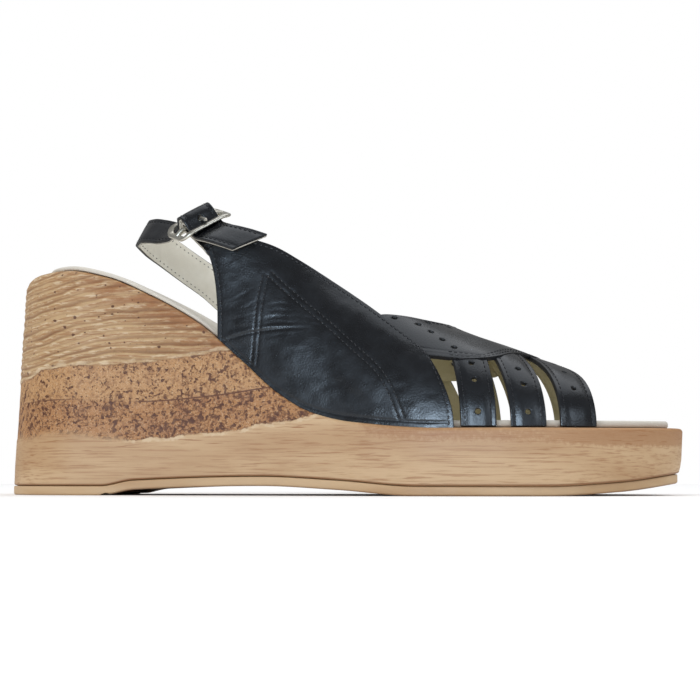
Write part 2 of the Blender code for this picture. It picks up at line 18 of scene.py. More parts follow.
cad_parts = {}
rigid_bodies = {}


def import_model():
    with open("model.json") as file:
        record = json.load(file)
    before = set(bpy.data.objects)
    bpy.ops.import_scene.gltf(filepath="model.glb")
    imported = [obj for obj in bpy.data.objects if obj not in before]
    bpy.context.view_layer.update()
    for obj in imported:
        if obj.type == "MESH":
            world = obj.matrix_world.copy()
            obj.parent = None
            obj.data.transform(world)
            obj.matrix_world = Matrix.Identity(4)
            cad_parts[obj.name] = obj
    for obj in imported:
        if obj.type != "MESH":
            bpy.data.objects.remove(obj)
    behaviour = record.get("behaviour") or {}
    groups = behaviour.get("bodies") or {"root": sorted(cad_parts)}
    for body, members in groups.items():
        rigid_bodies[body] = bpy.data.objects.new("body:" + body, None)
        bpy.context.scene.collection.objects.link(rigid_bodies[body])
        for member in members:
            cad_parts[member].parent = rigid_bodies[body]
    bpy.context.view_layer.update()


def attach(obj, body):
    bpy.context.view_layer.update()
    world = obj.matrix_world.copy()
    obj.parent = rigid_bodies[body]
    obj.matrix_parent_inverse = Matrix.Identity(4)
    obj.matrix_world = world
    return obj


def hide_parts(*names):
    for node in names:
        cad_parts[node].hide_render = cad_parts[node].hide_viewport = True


LOG = logging.getLogger("platform_sandal")
MM = 0.001
MIDDLE = 118.125
BODY = "root"

Array = np.ndarray
Pair = tuple[np.ndarray, np.ndarray]
Rows = Sequence[Sequence[float]]
Colour = tuple[float, float, float, float]
Spot = tuple[float, float, float]
Line = tuple[tuple[float, float], ...]
OpenLine = tuple[tuple[float, float | None], ...]
Grid = bmesh.types.BMesh
Item = bpy.types.Object
Material = bpy.types.Material
Node = bpy.types.Node
Socket = bpy.types.NodeSocket
Tree = bpy.types.NodeTree
Surface = Callable[[Array, Array], Array | dict[str, Array]]
Wire = Callable[[Array], Pair]
Feed = Socket | float | Spot | Colour


class Side(Enum):
    """Side of the foot, as the sign of Y."""

    OUTER = -1
    INNER = 1


class Slot(Enum):
    """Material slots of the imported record."""

    UNIT = "wood_look_unit"
    TREAD = "tread"
    SOCK = "insole_cover"
    UPPER = "upper_leather"
    STRAP = "strap_leather"
    FRAME = "buckle_metal"
    PRONG = "prong_metal"


class Layer(Enum):
    """Places of the finishes on a leather piece."""

    FACE = 0
    LINING = 1
    EDGE = 2


# Shape functions


def ease(x: Array | float, low: float, high: float) -> Array:
    """Smooth step from 0 at low to 1 at high."""
    t = np.clip((np.asarray(x, dtype=float) - low) / (high - low), 0.0, 1.0)
    return t * t * (3.0 - 2.0 * t)


def bell(gap: Array, width: float) -> Array:
    """Smooth hump of height 1 about gap 0."""
    return np.exp(-((gap / width) ** 2))


def place(points: Array) -> Array:
    """Points in millimetres from the heel as points in metres about the middle."""
    return (np.asarray(points, dtype=float) - (MIDDLE, 0.0, 0.0)) * MM


def stack(x: Array, y: Array, z: Array) -> Array:
    """Points from their three coordinates."""
    return np.stack(np.broadcast_arrays(x, y, z), axis=-1).astype(float)


def unit(vectors: Array) -> Array:
    """Vectors of length 1 in the same directions."""
    size = np.linalg.norm(vectors, axis=-1, keepdims=True)
    return vectors / np.maximum(size, 1e-9)


def walked(points: Array) -> Array:
    """Length of a line of points up to each of them."""
    steps = np.linalg.norm(np.diff(points, axis=0), axis=1)
    return np.concatenate(([0.0], np.cumsum(steps)))


@dataclass
class Table:
    """Smooth curve through the rows of a short table, read along its first column."""

    rows: Rows

    def __post_init__(self) -> None:
        """Work out the slope at each row."""
        data = np.array(self.rows, dtype=float)
        self.xs = data[:, 0]
        self.ys = data[:, 1:]
        slope = np.diff(self.ys, axis=0) / np.diff(self.xs)[:, None]
        self.tangent = np.zeros_like(self.ys)
        self.tangent[0] = slope[0]
        self.tangent[-1] = slope[-1]
        before, after = slope[:-1], slope[1:]
        same = before * after > 0.0
        total = np.where(same, before + after, 1.0)
        self.tangent[1:-1] = np.where(same, 2.0 * before * after / total, 0.0)

    def __call__(self, x: Array | float, column: int = 0) -> Array:
        """Values of a column.

        Args:
            x: Where to read, in the first column's units.
            column: Which column, counted after the first.

        Returns:
            One value for each x.
        """
        x = np.asarray(x, dtype=float)
        i = np.clip(np.searchsorted(self.xs, x) - 1, 0, len(self.xs) - 2)
        step = self.xs[i + 1] - self.xs[i]
        t = np.clip((x - self.xs[i]) / step, 0.0, 1.0)
        y, m = self.ys[:, column], self.tangent[:, column]
        value = y[i] + t * t * (3.0 - 2.0 * t) * (y[i + 1] - y[i])
        return value + step * t * (1.0 - t) * (m[i] * (1.0 - t) - m[i + 1] * t)


def curve(*rows: Sequence[float]) -> Table:
    """Field of a sizes class that starts as a smooth curve through rows."""
    return field(default_factory=lambda: Table(rows))


@dataclass
class Path:
    """Smooth line through points, read by the share of its length.

    Its length is that of the first few columns where their number is given.
    """

    points: Rows
    measured: int | None = None

    def __post_init__(self) -> None:
        """Measure the line along its points."""
        data = np.array(self.points, dtype=float)
        along = walked(data[:, :self.measured])
        self.length = float(along[-1])
        self.curve = Table(np.column_stack((along, data)))
        self.size = data.shape[1]

    def __call__(self, share: Array | float) -> Array:
        """Points at shares of the length from 0 to 1."""
        along = np.asarray(share, dtype=float) * self.length
        return np.stack([self.curve(along, k) for k in range(self.size)], axis=-1)


def reach(path: Rows, x: Array, z: Array, smooth: int = 24) -> Pair:
    """Distance of points from a smooth line in side view.

    Args:
        path: The line's own points.
        x: Distances from the heel.
        z: Heights.
        smooth: How many straight stretches stand for the line.

    Returns:
        The distance, positive on the line's left, and the share along the line.
    """
    knots = Path(path)(np.linspace(0.0, 1.0, smooth + 1))
    gap = np.full(np.shape(x), np.inf)
    side = np.ones(np.shape(x))
    share = np.zeros(np.shape(x))
    for step, (a, b) in enumerate(zip(knots, knots[1:])):
        length = max(float(np.hypot(*(b - a))), 1e-6)
        way = (b - a) / length
        rx, rz = x - a[0], z - a[1]
        t = np.clip(rx * way[0] + rz * way[1], 0.0, length)
        far = np.hypot(rx - t * way[0], rz - t * way[1])
        near = far < gap
        gap = np.where(near, far, gap)
        side = np.where(near, np.where(way[0] * rz - way[1] * rx < 0.0, -1.0, 1.0), side)
        share = np.where(near, (step + t / length) / smooth, share)
    return gap * side, share


@dataclass
class Drift:
    """Smooth seeded wander over two lengths, between -1 and 1."""

    seed: int
    cell_a: float
    cell_b: float
    count: int = 64

    def __post_init__(self) -> None:
        """Draw the values that the wander passes through."""
        self.grid = np.random.default_rng(self.seed).uniform(-1.0, 1.0, (self.count, self.count))

    def __call__(self, a: Array, b: Array) -> Array:
        """Values of the wander.

        Args:
            a: First lengths in millimetres.
            b: Second lengths in millimetres.

        Returns:
            One value for each pair.
        """
        a = np.asarray(a, dtype=float) / self.cell_a + 0.5 * self.count
        b = np.asarray(b, dtype=float) / self.cell_b + 0.5 * self.count
        i, j = np.floor(a).astype(int), np.floor(b).astype(int)
        s, t = a - i, b - j
        s, t = s * s * (3.0 - 2.0 * s), t * t * (3.0 - 2.0 * t)
        i, j, n = i % self.count, j % self.count, self.count
        low = self.grid[i, j] * (1 - s) + self.grid[(i + 1) % n, j] * s
        high = self.grid[i, (j + 1) % n] * (1 - s) + self.grid[(i + 1) % n, (j + 1) % n] * s
        return low * (1 - t) + high * t


@dataclass
class FootForm:
    """Outline of the sole and form of the foot, the same as in the solids."""

    length: float = 236.0
    heel_round: float = 29.0
    heel_power: float = 2.1
    toe_round: float = 50.0
    toe_power: float = 2.25
    heel_setback: float = 3.4
    heel_taper: float = 1.6
    heel_top: float = 78.0
    crest_y: float = 3.0
    section_power: float = 2.5
    last_inset: float = 2.2
    gap: float = 0.3
    # x, outer half width, inner half width
    outline: Table = curve(
        (0, 26, 26), (30, 26.5, 26.5), (60, 27.6, 25.6), (90, 30.6, 24.8),
        (115, 34.6, 27.8), (135, 38.6, 33.2), (155, 41.2, 38.2), (175, 40.6, 41.2),
        (195, 37.6, 41), (215, 32, 39), (236, 26, 36))
    # x, height of the unit's top edge
    footbed: Table = curve(
        (0, 78.4), (22, 78), (38, 75.2), (55, 68.4), (71, 59.6), (88, 45.4),
        (100, 34.8), (112, 27.8), (126, 24.4), (155, 22.2), (200, 22.2), (236, 22.6))
    # x, height of the underside
    underside: Table = curve(
        (0, 0), (38.6, 0), (50, 1.9), (95, 3.2), (122, 1.9), (148, 0),
        (190, 0), (214, 1.3), (236, 4.4))
    # x, height of the foot's crest above the unit's edge
    crest: Table = curve(
        (60, 92), (80, 80), (97, 70), (118, 57), (131, 49.5), (142, 43.6),
        (151, 39.2), (160, 35.2), (174, 30), (186, 25.4), (197, 21.8), (212, 18))

    def half_width(self, x: Array, side: Array | int) -> Array:
        """Half width of the sole.

        Args:
            x: Distances from the heel.
            side: The outer (-1) or the inner (1) side.

        Returns:
            One half width for each x.
        """
        body = np.where(np.asarray(side) < 0, self.outline(x, 0), self.outline(x, 1))
        heel = np.clip(1.0 - x / self.heel_round, 0.0, 1.0)
        toe = np.clip((x - self.length + self.toe_round) / self.toe_round, 0.0, 1.0)
        body = body * (1.0 - heel ** self.heel_power) ** (1.0 / self.heel_power)
        return body * (1.0 - toe ** self.toe_power) ** (1.0 / self.toe_power)

    def side_taper(self, x: Array, z: Array) -> Array:
        """How far the heel's side leans in at a height."""
        return self.heel_taper * z / self.heel_top * (1.0 - ease(x, 60.0, 120.0))

    def setback(self, x: Array, z: Array) -> Array:
        """How far the heel's back leans forward at a height."""
        return self.heel_setback * z / self.heel_top * (1.0 - ease(x, 0.0, 70.0))

    def stations(self, count: int) -> Pair:
        """Places evenly spread along the sole's edge from heel to toe.

        Args:
            count: How many places.

        Returns:
            The distance from the heel and the length of edge up to each place.
        """
        x = 0.5 * self.length * (1.0 - np.cos(np.linspace(0.0, math.pi, 4000)))
        wide = 0.5 * (self.half_width(x, -1) + self.half_width(x, 1))
        along = walked(np.column_stack((x, wide)))
        even = np.linspace(0.0, along[-1], count)
        return np.interp(even, along, x), even

    def feather(self, x: Array) -> Array:
        """Height at which the upper starts."""
        return self.footbed(x) + self.gap

    def form_width(self, x: Array, side: Array | int) -> Array:
        """Half width of the foot form from its crest."""
        edge = self.half_width(x, side) - self.side_taper(x, self.footbed(x)) - self.last_inset
        return edge - np.asarray(side) * self.crest_y

    def wall_point(self, x: Array, z: Array, side: int) -> Array:
        """Points of the foot form seen from the side at x and z."""
        part = np.clip((z - self.feather(x)) / self.crest(x), 0.0, 1.0)
        across = (1.0 - part ** self.section_power) ** (1.0 / self.section_power)
        return stack(x, self.crest_y + side * self.form_width(x, side) * across, z)

    def wall_normal(self, x: Array, z: Array, side: int) -> Array:
        """Outward directions of the foot form seen from the side."""
        along = self.wall_point(x + 0.5, z, side) - self.wall_point(x - 0.5, z, side)
        up = self.wall_point(x, z + 1.0, side) - self.wall_point(x, z, side)
        normal = unit(np.cross(along, up))
        return normal * np.where(normal[..., 1:2] * side < 0.0, -1.0, 1.0)

    def wall(self, x: Array, z: Array, side: int, lift: Array | float) -> Array:
        """Points above the foot form seen from the side."""
        lift = np.asarray(lift, dtype=float)[..., None]
        return self.wall_point(x, z, side) + self.wall_normal(x, z, side) * lift

    def round_point(self, x: Array, angle: Array) -> Array:
        """Points of the foot form round its section.

        Args:
            x: Distances from the heel.
            angle: Degrees from the outer edge, 0, to the inner edge, 180.

        Returns:
            The points.
        """
        turn = np.radians(angle)
        side = np.where(angle <= 90.0, -1, 1)
        across = np.abs(np.cos(turn)) / self.form_width(x, side)
        up = np.sin(turn) / self.crest(x)
        power = self.section_power
        radius = (across ** power + up ** power) ** (-1.0 / power)
        return stack(x, self.crest_y - radius * np.cos(turn), self.feather(x) + radius * np.sin(turn))

    def round_normal(self, x: Array, angle: Array) -> Array:
        """Outward directions at angles round the foot form's section."""
        along = self.round_point(x + 0.5, angle) - self.round_point(x - 0.5, angle)
        low, high = np.maximum(angle - 0.5, 0.0), np.minimum(angle + 0.5, 180.0)
        turn = self.round_point(x, high) - self.round_point(x, low)
        return -unit(np.cross(turn, along))

    def round(self, x: Array, angle: Array, lift: Array | float) -> Array:
        """Points above the foot form at angles round its section."""
        lift = np.asarray(lift, dtype=float)[..., None]
        return self.round_point(x, angle) + self.round_normal(x, angle) * lift

    def round_pair(self, x: Array, angle: Array, lift: float) -> Pair:
        """Points above the foot form at angles round its section, and the outward directions there."""
        return self.round(x, angle, lift), self.round_normal(x, angle)


# Shader nodes


def srgb(red: int, green: int, blue: int) -> Colour:
    """Linear colour of a screen colour from 0 to 255."""
    parts = [c / 255.0 for c in (red, green, blue)]
    line = [c / 12.92 if c <= 0.04045 else ((c + 0.055) / 1.055) ** 2.4 for c in parts]
    return (line[0], line[1], line[2], 1.0)


class Graph:
    """Shader nodes of one material or group, added and joined by short calls."""

    def __init__(self, tree: Tree) -> None:
        """Start on a node tree."""
        self.tree = tree

    def node(self, kind: str, *values: Feed, **settings: object) -> Node:
        """Add a node.

        Args:
            kind: The node's kind.
            values: What its first inputs get, in order.
            settings: Its settings by name.

        Returns:
            The node.
        """
        made = self.tree.nodes.new("ShaderNode" + kind)
        for key, value in settings.items():
            setattr(made, key, value)
        for socket, value in zip(made.inputs, values):
            self.feed(socket, value)
        return made

    def feed(self, socket: Socket, value: Feed) -> None:
        """Join a socket to another one, or set its plain value."""
        if isinstance(value, Socket):
            self.tree.links.new(value, socket)
        else:
            socket.default_value = value

    def fill(self, made: Node, values: dict[str, Feed]) -> None:
        """Feed inputs of a node by their names."""
        for label, value in values.items():
            self.feed(made.inputs[label], value)

    def math(self, operation: str, *values: Feed) -> Socket:
        """Result of a Math node."""
        return self.node("Math", *values, operation=operation).outputs[0]

    def times(self, first: Feed, second: Feed) -> Socket:
        """Product of two values."""
        return self.math('MULTIPLY', first, second)

    def scaled(self, value: Feed, factor: Feed, shift: Feed) -> Socket:
        """Value times a factor, plus a shift."""
        return self.math('MULTIPLY_ADD', value, factor, shift)

    def step(self, value: Feed, low: Feed, high: Feed, start: Feed = 0.0, end: Feed = 1.0) -> Socket:
        """Value eased from start at low to end at high."""
        return self.node("MapRange", value, low, high, start, end, interpolation_type='SMOOTHSTEP').outputs[0]

    def mix(self, share: Feed, first: Feed, second: Feed) -> Socket:
        """Colour between two colours, all of the second where the share is 1."""
        made = self.node("Mix", share, data_type='RGBA')
        self.feed(made.inputs[6], first)
        self.feed(made.inputs[7], second)
        return made.outputs[2]

    def paint(self, base: Feed, *layers: tuple[Feed, Colour]) -> Socket:
        """Colour with layers over it, each shown where its mask is 1."""
        for mask, colour in layers:
            base = self.mix(mask, base, colour)
        return base

    def attribute(self, name: str) -> Socket:
        """Value that a piece's mesh carries under a name."""
        return self.node("Attribute", attribute_name=name).outputs["Fac"]

    def vector(self, x: Feed, y: Feed, z: Feed) -> Socket:
        """Vector from three values."""
        return self.node("CombineXYZ", x, y, z).outputs[0]

    def stretch(self, vector: Feed, x: float, y: float, z: float) -> Socket:
        """Vector scaled along each axis."""
        return self.node("VectorMath", vector, (x, y, z), operation='MULTIPLY').outputs[0]

    def millimetres(self) -> Socket:
        """Place on the object in millimetres."""
        return self.stretch(self.node("TexCoord").outputs["Object"], 1.0 / MM, 1.0 / MM, 1.0 / MM)

    def unrolled(self) -> tuple[Socket, Socket, Socket]:
        """Place on the sole's side laid out flat along its edge, and the object's own X and Y."""
        x, y, z = self.node("SeparateXYZ", self.millimetres()).outputs
        return self.vector(self.attribute("along"), z, y), x, y

    def noise(self, vector: Feed, scale: Feed, detail: float, rough: float) -> Socket:
        """Soft noise from 0 to 1."""
        made = self.node("TexNoise")
        self.fill(made, {"Vector": vector, "Scale": scale, "Detail": detail, "Roughness": rough})
        return made.outputs["Fac"]

    def streaks(self, vector: Feed, x: float, y: float, z: float, detail: float, rough: float) -> Socket:
        """Soft noise from 0 to 1, with its own scale along each axis."""
        return self.noise(self.stretch(vector, x, y, z), 1.0, detail, rough)

    def cells(self, vector: Feed, scale: Feed) -> tuple[Socket, Socket]:
        """Distance to the nearest of scattered points, and a random value for each point."""
        made = self.node("TexVoronoi")
        self.fill(made, {"Vector": vector, "Scale": scale})
        return made.outputs["Distance"], self.node("SeparateColor", made.outputs["Color"]).outputs[0]

    def bump(self, height: Socket, strength: float, depth: float) -> Socket:
        """Normal from a height map whose full range is depth millimetres."""
        made = self.node("Bump")
        self.fill(made, {"Strength": strength, "Distance": depth * MM, "Height": height})
        return made.outputs[0]


def group(name: str, inputs: dict[str, str],
          outputs: Sequence[str]) -> tuple[Graph, bpy.types.NodeOutputs, Node]:
    """New shader group with named sockets.

    Args:
        name: The group's name.
        inputs: Name and kind of each input.
        outputs: Names of the outputs, all plain values.

    Returns:
        The group's graph, the sockets that its inputs come from and the node that its outputs go to.
    """
    tree = bpy.data.node_groups.new(name, 'ShaderNodeTree')
    for label, kind in inputs.items():
        tree.interface.new_socket(label, in_out='INPUT', socket_type="NodeSocket" + kind)
    for label in outputs:
        tree.interface.new_socket(label, in_out='OUTPUT', socket_type="NodeSocketFloat")
    return Graph(tree), tree.nodes.new("NodeGroupInput").outputs, tree.nodes.new("NodeGroupOutput")


class Effects:
    """Shader groups that several finishes share, each built once."""

    def __init__(self) -> None:
        """Build the groups."""
        self.grain = self.build_grain()
        self.fibre = self.build_fibre()
        self.specks = self.build_specks()

    @staticmethod
    def build_grain() -> Tree:
        """Pebbled skin: Height of the pebbles and a slow Tone."""
        graph, ins, sink = group("skin_grain", {"Place": "Vector", "Scale": "Float"}, ("Height", "Tone"))
        far, _ = graph.cells(ins["Place"], ins["Scale"])
        fine = graph.noise(ins["Place"], graph.times(ins["Scale"], 2.6), 4.0, 0.6)
        graph.fill(sink, {
            "Height": graph.scaled(fine, 0.6, graph.scaled(far, -0.7, 0.7)),
            "Tone": graph.noise(ins["Place"], 0.11, 4.0, 0.6),
        })
        return graph.tree

    @staticmethod
    def build_fibre() -> Tree:
        """Fine wood fibre along the first axis: Grain, brown Dashes and a slow Tone."""
        graph, ins, sink = group("wood_fibre", {"Place": "Vector"}, ("Grain", "Dashes", "Tone"))
        where = ins["Place"]
        graph.fill(sink, {
            "Grain": graph.streaks(where, 0.05, 1.5, 0.3, 5.0, 0.62),
            "Dashes": graph.step(graph.streaks(where, 0.07, 1.35, 0.2, 2.0, 0.5), 0.62, 0.68),
            "Tone": graph.streaks(where, 0.016, 0.09, 0.03, 3.0, 0.5),
        })
        return graph.tree

    @staticmethod
    def build_specks() -> Tree:
        """Scattered specks: a Mask that is 1 inside them. Share is how many cells hold one."""
        sockets = {"Place": "Vector", "Scale": "Float", "Share": "Float", "Radius": "Float"}
        graph, ins, sink = group("specks", sockets, ("Mask",))
        warp = graph.noise(ins["Place"], 0.9, 2.0, 0.5)
        far, tone = graph.cells(ins["Place"], ins["Scale"])
        far = graph.math('ADD', far, graph.scaled(warp, 0.36, -0.18))
        inside = graph.step(far, graph.times(ins["Radius"], 1.25), graph.times(ins["Radius"], 0.7))
        chosen = graph.math('LESS_THAN', tone, ins["Share"])
        graph.fill(sink, {"Mask": graph.times(inside, chosen)})
        return graph.tree

    @staticmethod
    def use(graph: Graph, tree: Tree, **values: Feed) -> dict[str, Socket]:
        """Place a group in a graph.

        Args:
            graph: Where it goes.
            tree: The group.
            values: What its inputs get, by name.

        Returns:
            Its output sockets by name.
        """
        made = graph.node("Group", node_tree=tree)
        graph.fill(made, values)
        return {socket.name: socket for socket in made.outputs}


@dataclass(frozen=True)
class Finish:
    """Finish of one surface. Each kind adds its own nodes."""

    name: str
    roughness: float

    def material(self, effects: Effects) -> Material:
        """Build the finish as a material.

        Args:
            effects: The shader groups that finishes share.

        Returns:
            The material.
        """
        made = bpy.data.materials.new(self.name)
        made.use_nodes = True
        graph = Graph(made.node_tree)
        shader = made.node_tree.nodes["Principled BSDF"]
        shader.inputs["Roughness"].default_value = self.roughness
        self.dress(graph, shader, effects)
        return made

    def dress(self, graph: Graph, shader: Node, effects: Effects) -> None:
        """Add this finish's own nodes.

        Args:
            graph: Where they go.
            shader: The node that they feed.
            effects: The shader groups that finishes share.
        """
        raise NotImplementedError


@dataclass(frozen=True)
class SkinFinish(Finish):
    """Leather or lining with a pebbled grain."""

    colour: Colour
    # Second colour, laid in slow random patches: a worn tone on most skins, painted sheen on the black
    # leather
    wear_and_sheen: Colour
    grain_scale: float = 1.5
    grain_depth: float = 0.12
    coat: float = 0.0
    tint: Colour = (1.0, 1.0, 1.0, 1.0)
    shine: float = 0.5
    coat_roughness: float = 0.28

    def dress(self, graph: Graph, shader: Node, effects: Effects) -> None:
        """Grain as bump, with slow changes of colour and gloss; on the black leather the second colour is
        painted sheen.
        """
        skin = effects.use(graph, effects.grain, Place=graph.millimetres(), Scale=self.grain_scale)
        tone = skin["Tone"]
        graph.fill(shader, {
            "Base Color": graph.mix(graph.step(tone, 0.35, 0.75), self.colour, self.wear_and_sheen),
            "Roughness": graph.step(tone, 0.3, 0.8, self.roughness - 0.06, self.roughness + 0.08),
            "Normal": graph.bump(skin["Height"], 0.6, self.grain_depth),
            "Coat Weight": self.coat,
            "Coat Roughness": self.coat_roughness,
            "Specular Tint": self.tint,
            "Specular IOR Level": self.shine,
        })


@dataclass(frozen=True)
class ThreadFinish(Finish):
    """Sewing thread with its twist."""

    colour: Colour

    def dress(self, graph: Graph, shader: Node, effects: Effects) -> None:
        """Twist as fine noise."""
        twist = graph.noise(graph.millimetres(), 5.0, 2.0, 0.5)
        dark = tuple(c * 0.6 for c in self.colour[:3]) + (1.0,)
        graph.fill(shader, {
            "Base Color": graph.mix(twist, dark, self.colour),
            "Normal": graph.bump(twist, 0.5, 0.1),
        })


@dataclass(frozen=True)
class MetalFinish(Finish):
    """Plated metal with fine pits and dulled patches."""

    colour: Colour
    dull: Colour

    def dress(self, graph: Graph, shader: Node, effects: Effects) -> None:
        """Pits as bump, patches as colour and gloss."""
        where = graph.millimetres()
        pits = effects.use(graph, effects.specks, Place=where, Scale=1.4, Share=0.35, Radius=0.3)["Mask"]
        patch = graph.step(graph.noise(where, 0.22, 3.0, 0.5), 0.4, 0.7)
        graph.fill(shader, {
            "Base Color": graph.mix(patch, self.colour, self.dull),
            "Roughness": graph.step(patch, 0.0, 1.0, self.roughness, self.roughness + 0.1),
            "Normal": graph.bump(graph.math('SUBTRACT', 1.0, pits), 0.06, 0.04),
            "Metallic": 1.0,
        })


@dataclass(frozen=True)
class WoodLookFinish(Finish):
    """Moulded unit printed as rough wood, cork and smooth wood, from the values on its mesh."""

    band_light: Colour = srgb(202, 173, 136)
    band_dark: Colour = srgb(184, 150, 111)
    dash: Colour = srgb(148, 98, 54)
    # Lit and shaded colours of the rough wood's ridges, painted light and shade
    rough_lit_face: Colour = srgb(191, 161, 121)
    rough_shaded_face: Colour = srgb(168, 129, 87)
    # Pale flecks of the cork and pale lip; on the rough wood's ridge tops also painted highlight
    fleck_and_highlight: Colour = srgb(218, 199, 168)
    groove: Colour = srgb(126, 82, 46)
    stain: Colour = srgb(152, 101, 56)
    shade: Colour = srgb(138, 88, 56)
    cork: Colour = srgb(184, 140, 92)
    cork_low: Colour = srgb(173, 124, 76)
    speck: Colour = srgb(84, 42, 18)
    # Thin dark line; it also draws the painted shadow line under the rough wood's edge
    line: Colour = srgb(102, 60, 36)
    rim: Colour = srgb(198, 146, 86)

    def dress(self, graph: Graph, shader: Node, effects: Effects) -> None:
        """Colour each zone, then the lines and the rim over them."""
        where, x, _ = graph.unrolled()
        fibre = effects.use(graph, effects.fibre, Place=where)
        ragged = graph.scaled(graph.noise(where, 0.8, 3.0, 0.6), 1.6, -0.8)
        wander = graph.scaled(graph.noise(where, 0.17, 2.0, 0.5), 3.0, -1.5)
        broken = graph.step(graph.noise(where, 0.22, 3.0, 0.6), 0.4, 0.62, 0.05, 0.6)
        ahead = graph.step(x, -76.0, -66.0)
        cork_height = graph.math('ADD', graph.attribute("cork"), graph.math('ADD', ragged, wander))
        rough_height = graph.scaled(wander, 0.6, graph.scaled(ragged, 0.5, graph.attribute("rustic")))
        soft = graph.scaled(ahead, -1.5, 1.9)
        on_cork = graph.step(cork_height, graph.times(soft, -1.0), soft)
        on_rough = graph.step(rough_height, -0.3, 0.3)
        cork, pits = self.cork_colour(graph, where, x)
        rough, cuts = self.rough_colour(graph, effects, where, x)
        colour = graph.mix(on_cork, self.band_colour(graph, fibre, cork_height), cork)
        colour = self.ledge(graph, colour, cork_height, -0.8, graph.times(ahead, broken))
        colour = graph.mix(on_rough, colour, rough)
        # Painted shadow: the dark line under the rough wood's raised lower edge
        colour = self.ledge(graph, colour, rough_height, 0.9, broken)
        pits = graph.times(graph.times(pits, on_cork), -0.8)
        cuts = graph.times(graph.times(cuts, on_rough), -0.9)
        height = graph.math('ADD', graph.scaled(fibre["Grain"], 0.5, pits), cuts)
        graph.fill(shader, {
            "Base Color": self.edges(graph, colour, ragged, fibre["Grain"]),
            "Roughness": graph.step(fibre["Tone"], 0.3, 0.7, self.roughness - 0.06, self.roughness + 0.06),
            "Normal": graph.bump(height, 0.55, 0.3),
        })

    def edges(self, graph: Graph, colour: Feed, ragged: Socket, grain: Socket) -> Socket:
        """Thin line, toe stain, rim and foot over the zones.

        Args:
            graph: Where the nodes go.
            colour: The colour below them.
            ragged: Small shifts of their borders.
            grain: The wood's grain.

        Returns:
            The colour with all of them.
        """
        thin = graph.step(graph.math('ABSOLUTE', graph.attribute("line")), 0.36, 0.12)
        toe = graph.scaled(ragged, 0.3, graph.attribute("toe"))
        toe = graph.scaled(toe, 0.22, graph.step(toe, 0.26, 0.5, 0.0, 0.45))
        rim = graph.step(graph.scaled(ragged, 0.4, graph.attribute("rim")), 0.9, 0.2)
        foot = graph.step(graph.attribute("foot"), 0.75, 0.3)
        return graph.paint(
            colour,
            (graph.times(thin, graph.attribute("line_strength")), self.line),
            (graph.times(toe, graph.step(grain, 0.3, 0.6, 0.7, 1.1)), self.stain),
            (graph.times(rim, 0.6), self.rim),
            (graph.times(foot, 0.7), self.groove))

    def band_colour(self, graph: Graph, fibre: dict, above: Socket) -> Socket:
        """Colour of the smooth wood, with more dashes close under the cork."""
        band = graph.mix(graph.step(fibre["Tone"], 0.35, 0.65), self.band_dark, self.band_light)
        dark = graph.step(fibre["Grain"], 0.54, 0.3, 0.0, 0.55)
        dashes = graph.times(fibre["Dashes"], graph.step(above, -9.0, -1.0, 0.5, 0.85))
        return graph.paint(band, (dark, self.dash), (dashes, self.dash))

    def ledge(self, graph: Graph, colour: Feed, height: Socket, lip: float,
              strength: Feed) -> Socket:
        """Pale lip and thin dark line along the edge of a zone; under the rough wood the dark line is painted
        shadow.

        Args:
            graph: Where the nodes go.
            colour: The colour below them.
            height: Height above the zone's edge.
            lip: How far the lip lies above the edge.
            strength: How much they show.

        Returns:
            The colour with the lip and the line.
        """
        off = graph.math('ABSOLUTE', graph.math('SUBTRACT', height, lip))
        near = graph.math('ABSOLUTE', height)
        return graph.paint(
            colour,
            (graph.times(graph.step(off, 0.8, 0.3), strength), self.fleck_and_highlight),
            (graph.times(graph.step(near, 0.36, 0.1), strength), self.line))

    def cork_colour(self, graph: Graph, where: Socket,
                    x: Socket) -> tuple[Socket, Socket]:
        """Colour of the cork.

        Args:
            graph: Where the nodes go.
            where: Place on the unrolled side.
            x: Distance from the middle of the part.

        Returns:
            The colour and the mask of its pits.
        """
        below = graph.step(graph.attribute("line"), 1.2, -1.6)
        front = graph.step(x, -80.0, -45.0)
        patch = graph.noise(where, 0.15, 3.0, 0.6)
        dark = graph.times(graph.step(patch, 0.42, 0.64), graph.scaled(front, 0.45, 0.15))
        crumb = graph.noise(where, 2.4, 3.0, 0.7)
        base = graph.paint(
            graph.mix(below, self.cork, self.cork_low),
            (graph.times(dark, graph.scaled(below, 0.7, 0.3)), self.shade),
            (graph.step(crumb, 0.5, 0.7, 0.0, 0.55), self.fleck_and_highlight),
            (graph.step(crumb, 0.5, 0.3, 0.0, 0.45), self.dash),
            (graph.step(graph.noise(where, 0.6, 3.0, 0.65), 0.5, 0.64, 0.0, 0.6), self.groove))
        dense = graph.scaled(patch, -0.24, 0.7)
        dense = graph.scaled(below, -0.035, dense)
        dense = graph.scaled(front, -0.025, dense)
        pits = self.blots(graph, where, 0.58, dense)
        fine = self.blots(graph, where, 1.25, graph.math('ADD', dense, 0.015))
        pits = graph.math('MAXIMUM', pits, graph.times(fine, 0.75))
        deep = graph.step(graph.noise(where, 0.7, 2.0, 0.5), 0.35, 0.65, 0.8, 1.0)
        return graph.mix(graph.times(pits, deep), base, self.speck), pits

    @staticmethod
    def blots(graph: Graph, where: Socket, scale: float, level: Socket) -> Socket:
        """Mask of ragged blots where soft noise passes a level."""
        rough = graph.noise(where, scale, 2.0, 0.6)
        return graph.step(rough, level, graph.math('ADD', level, 0.06))

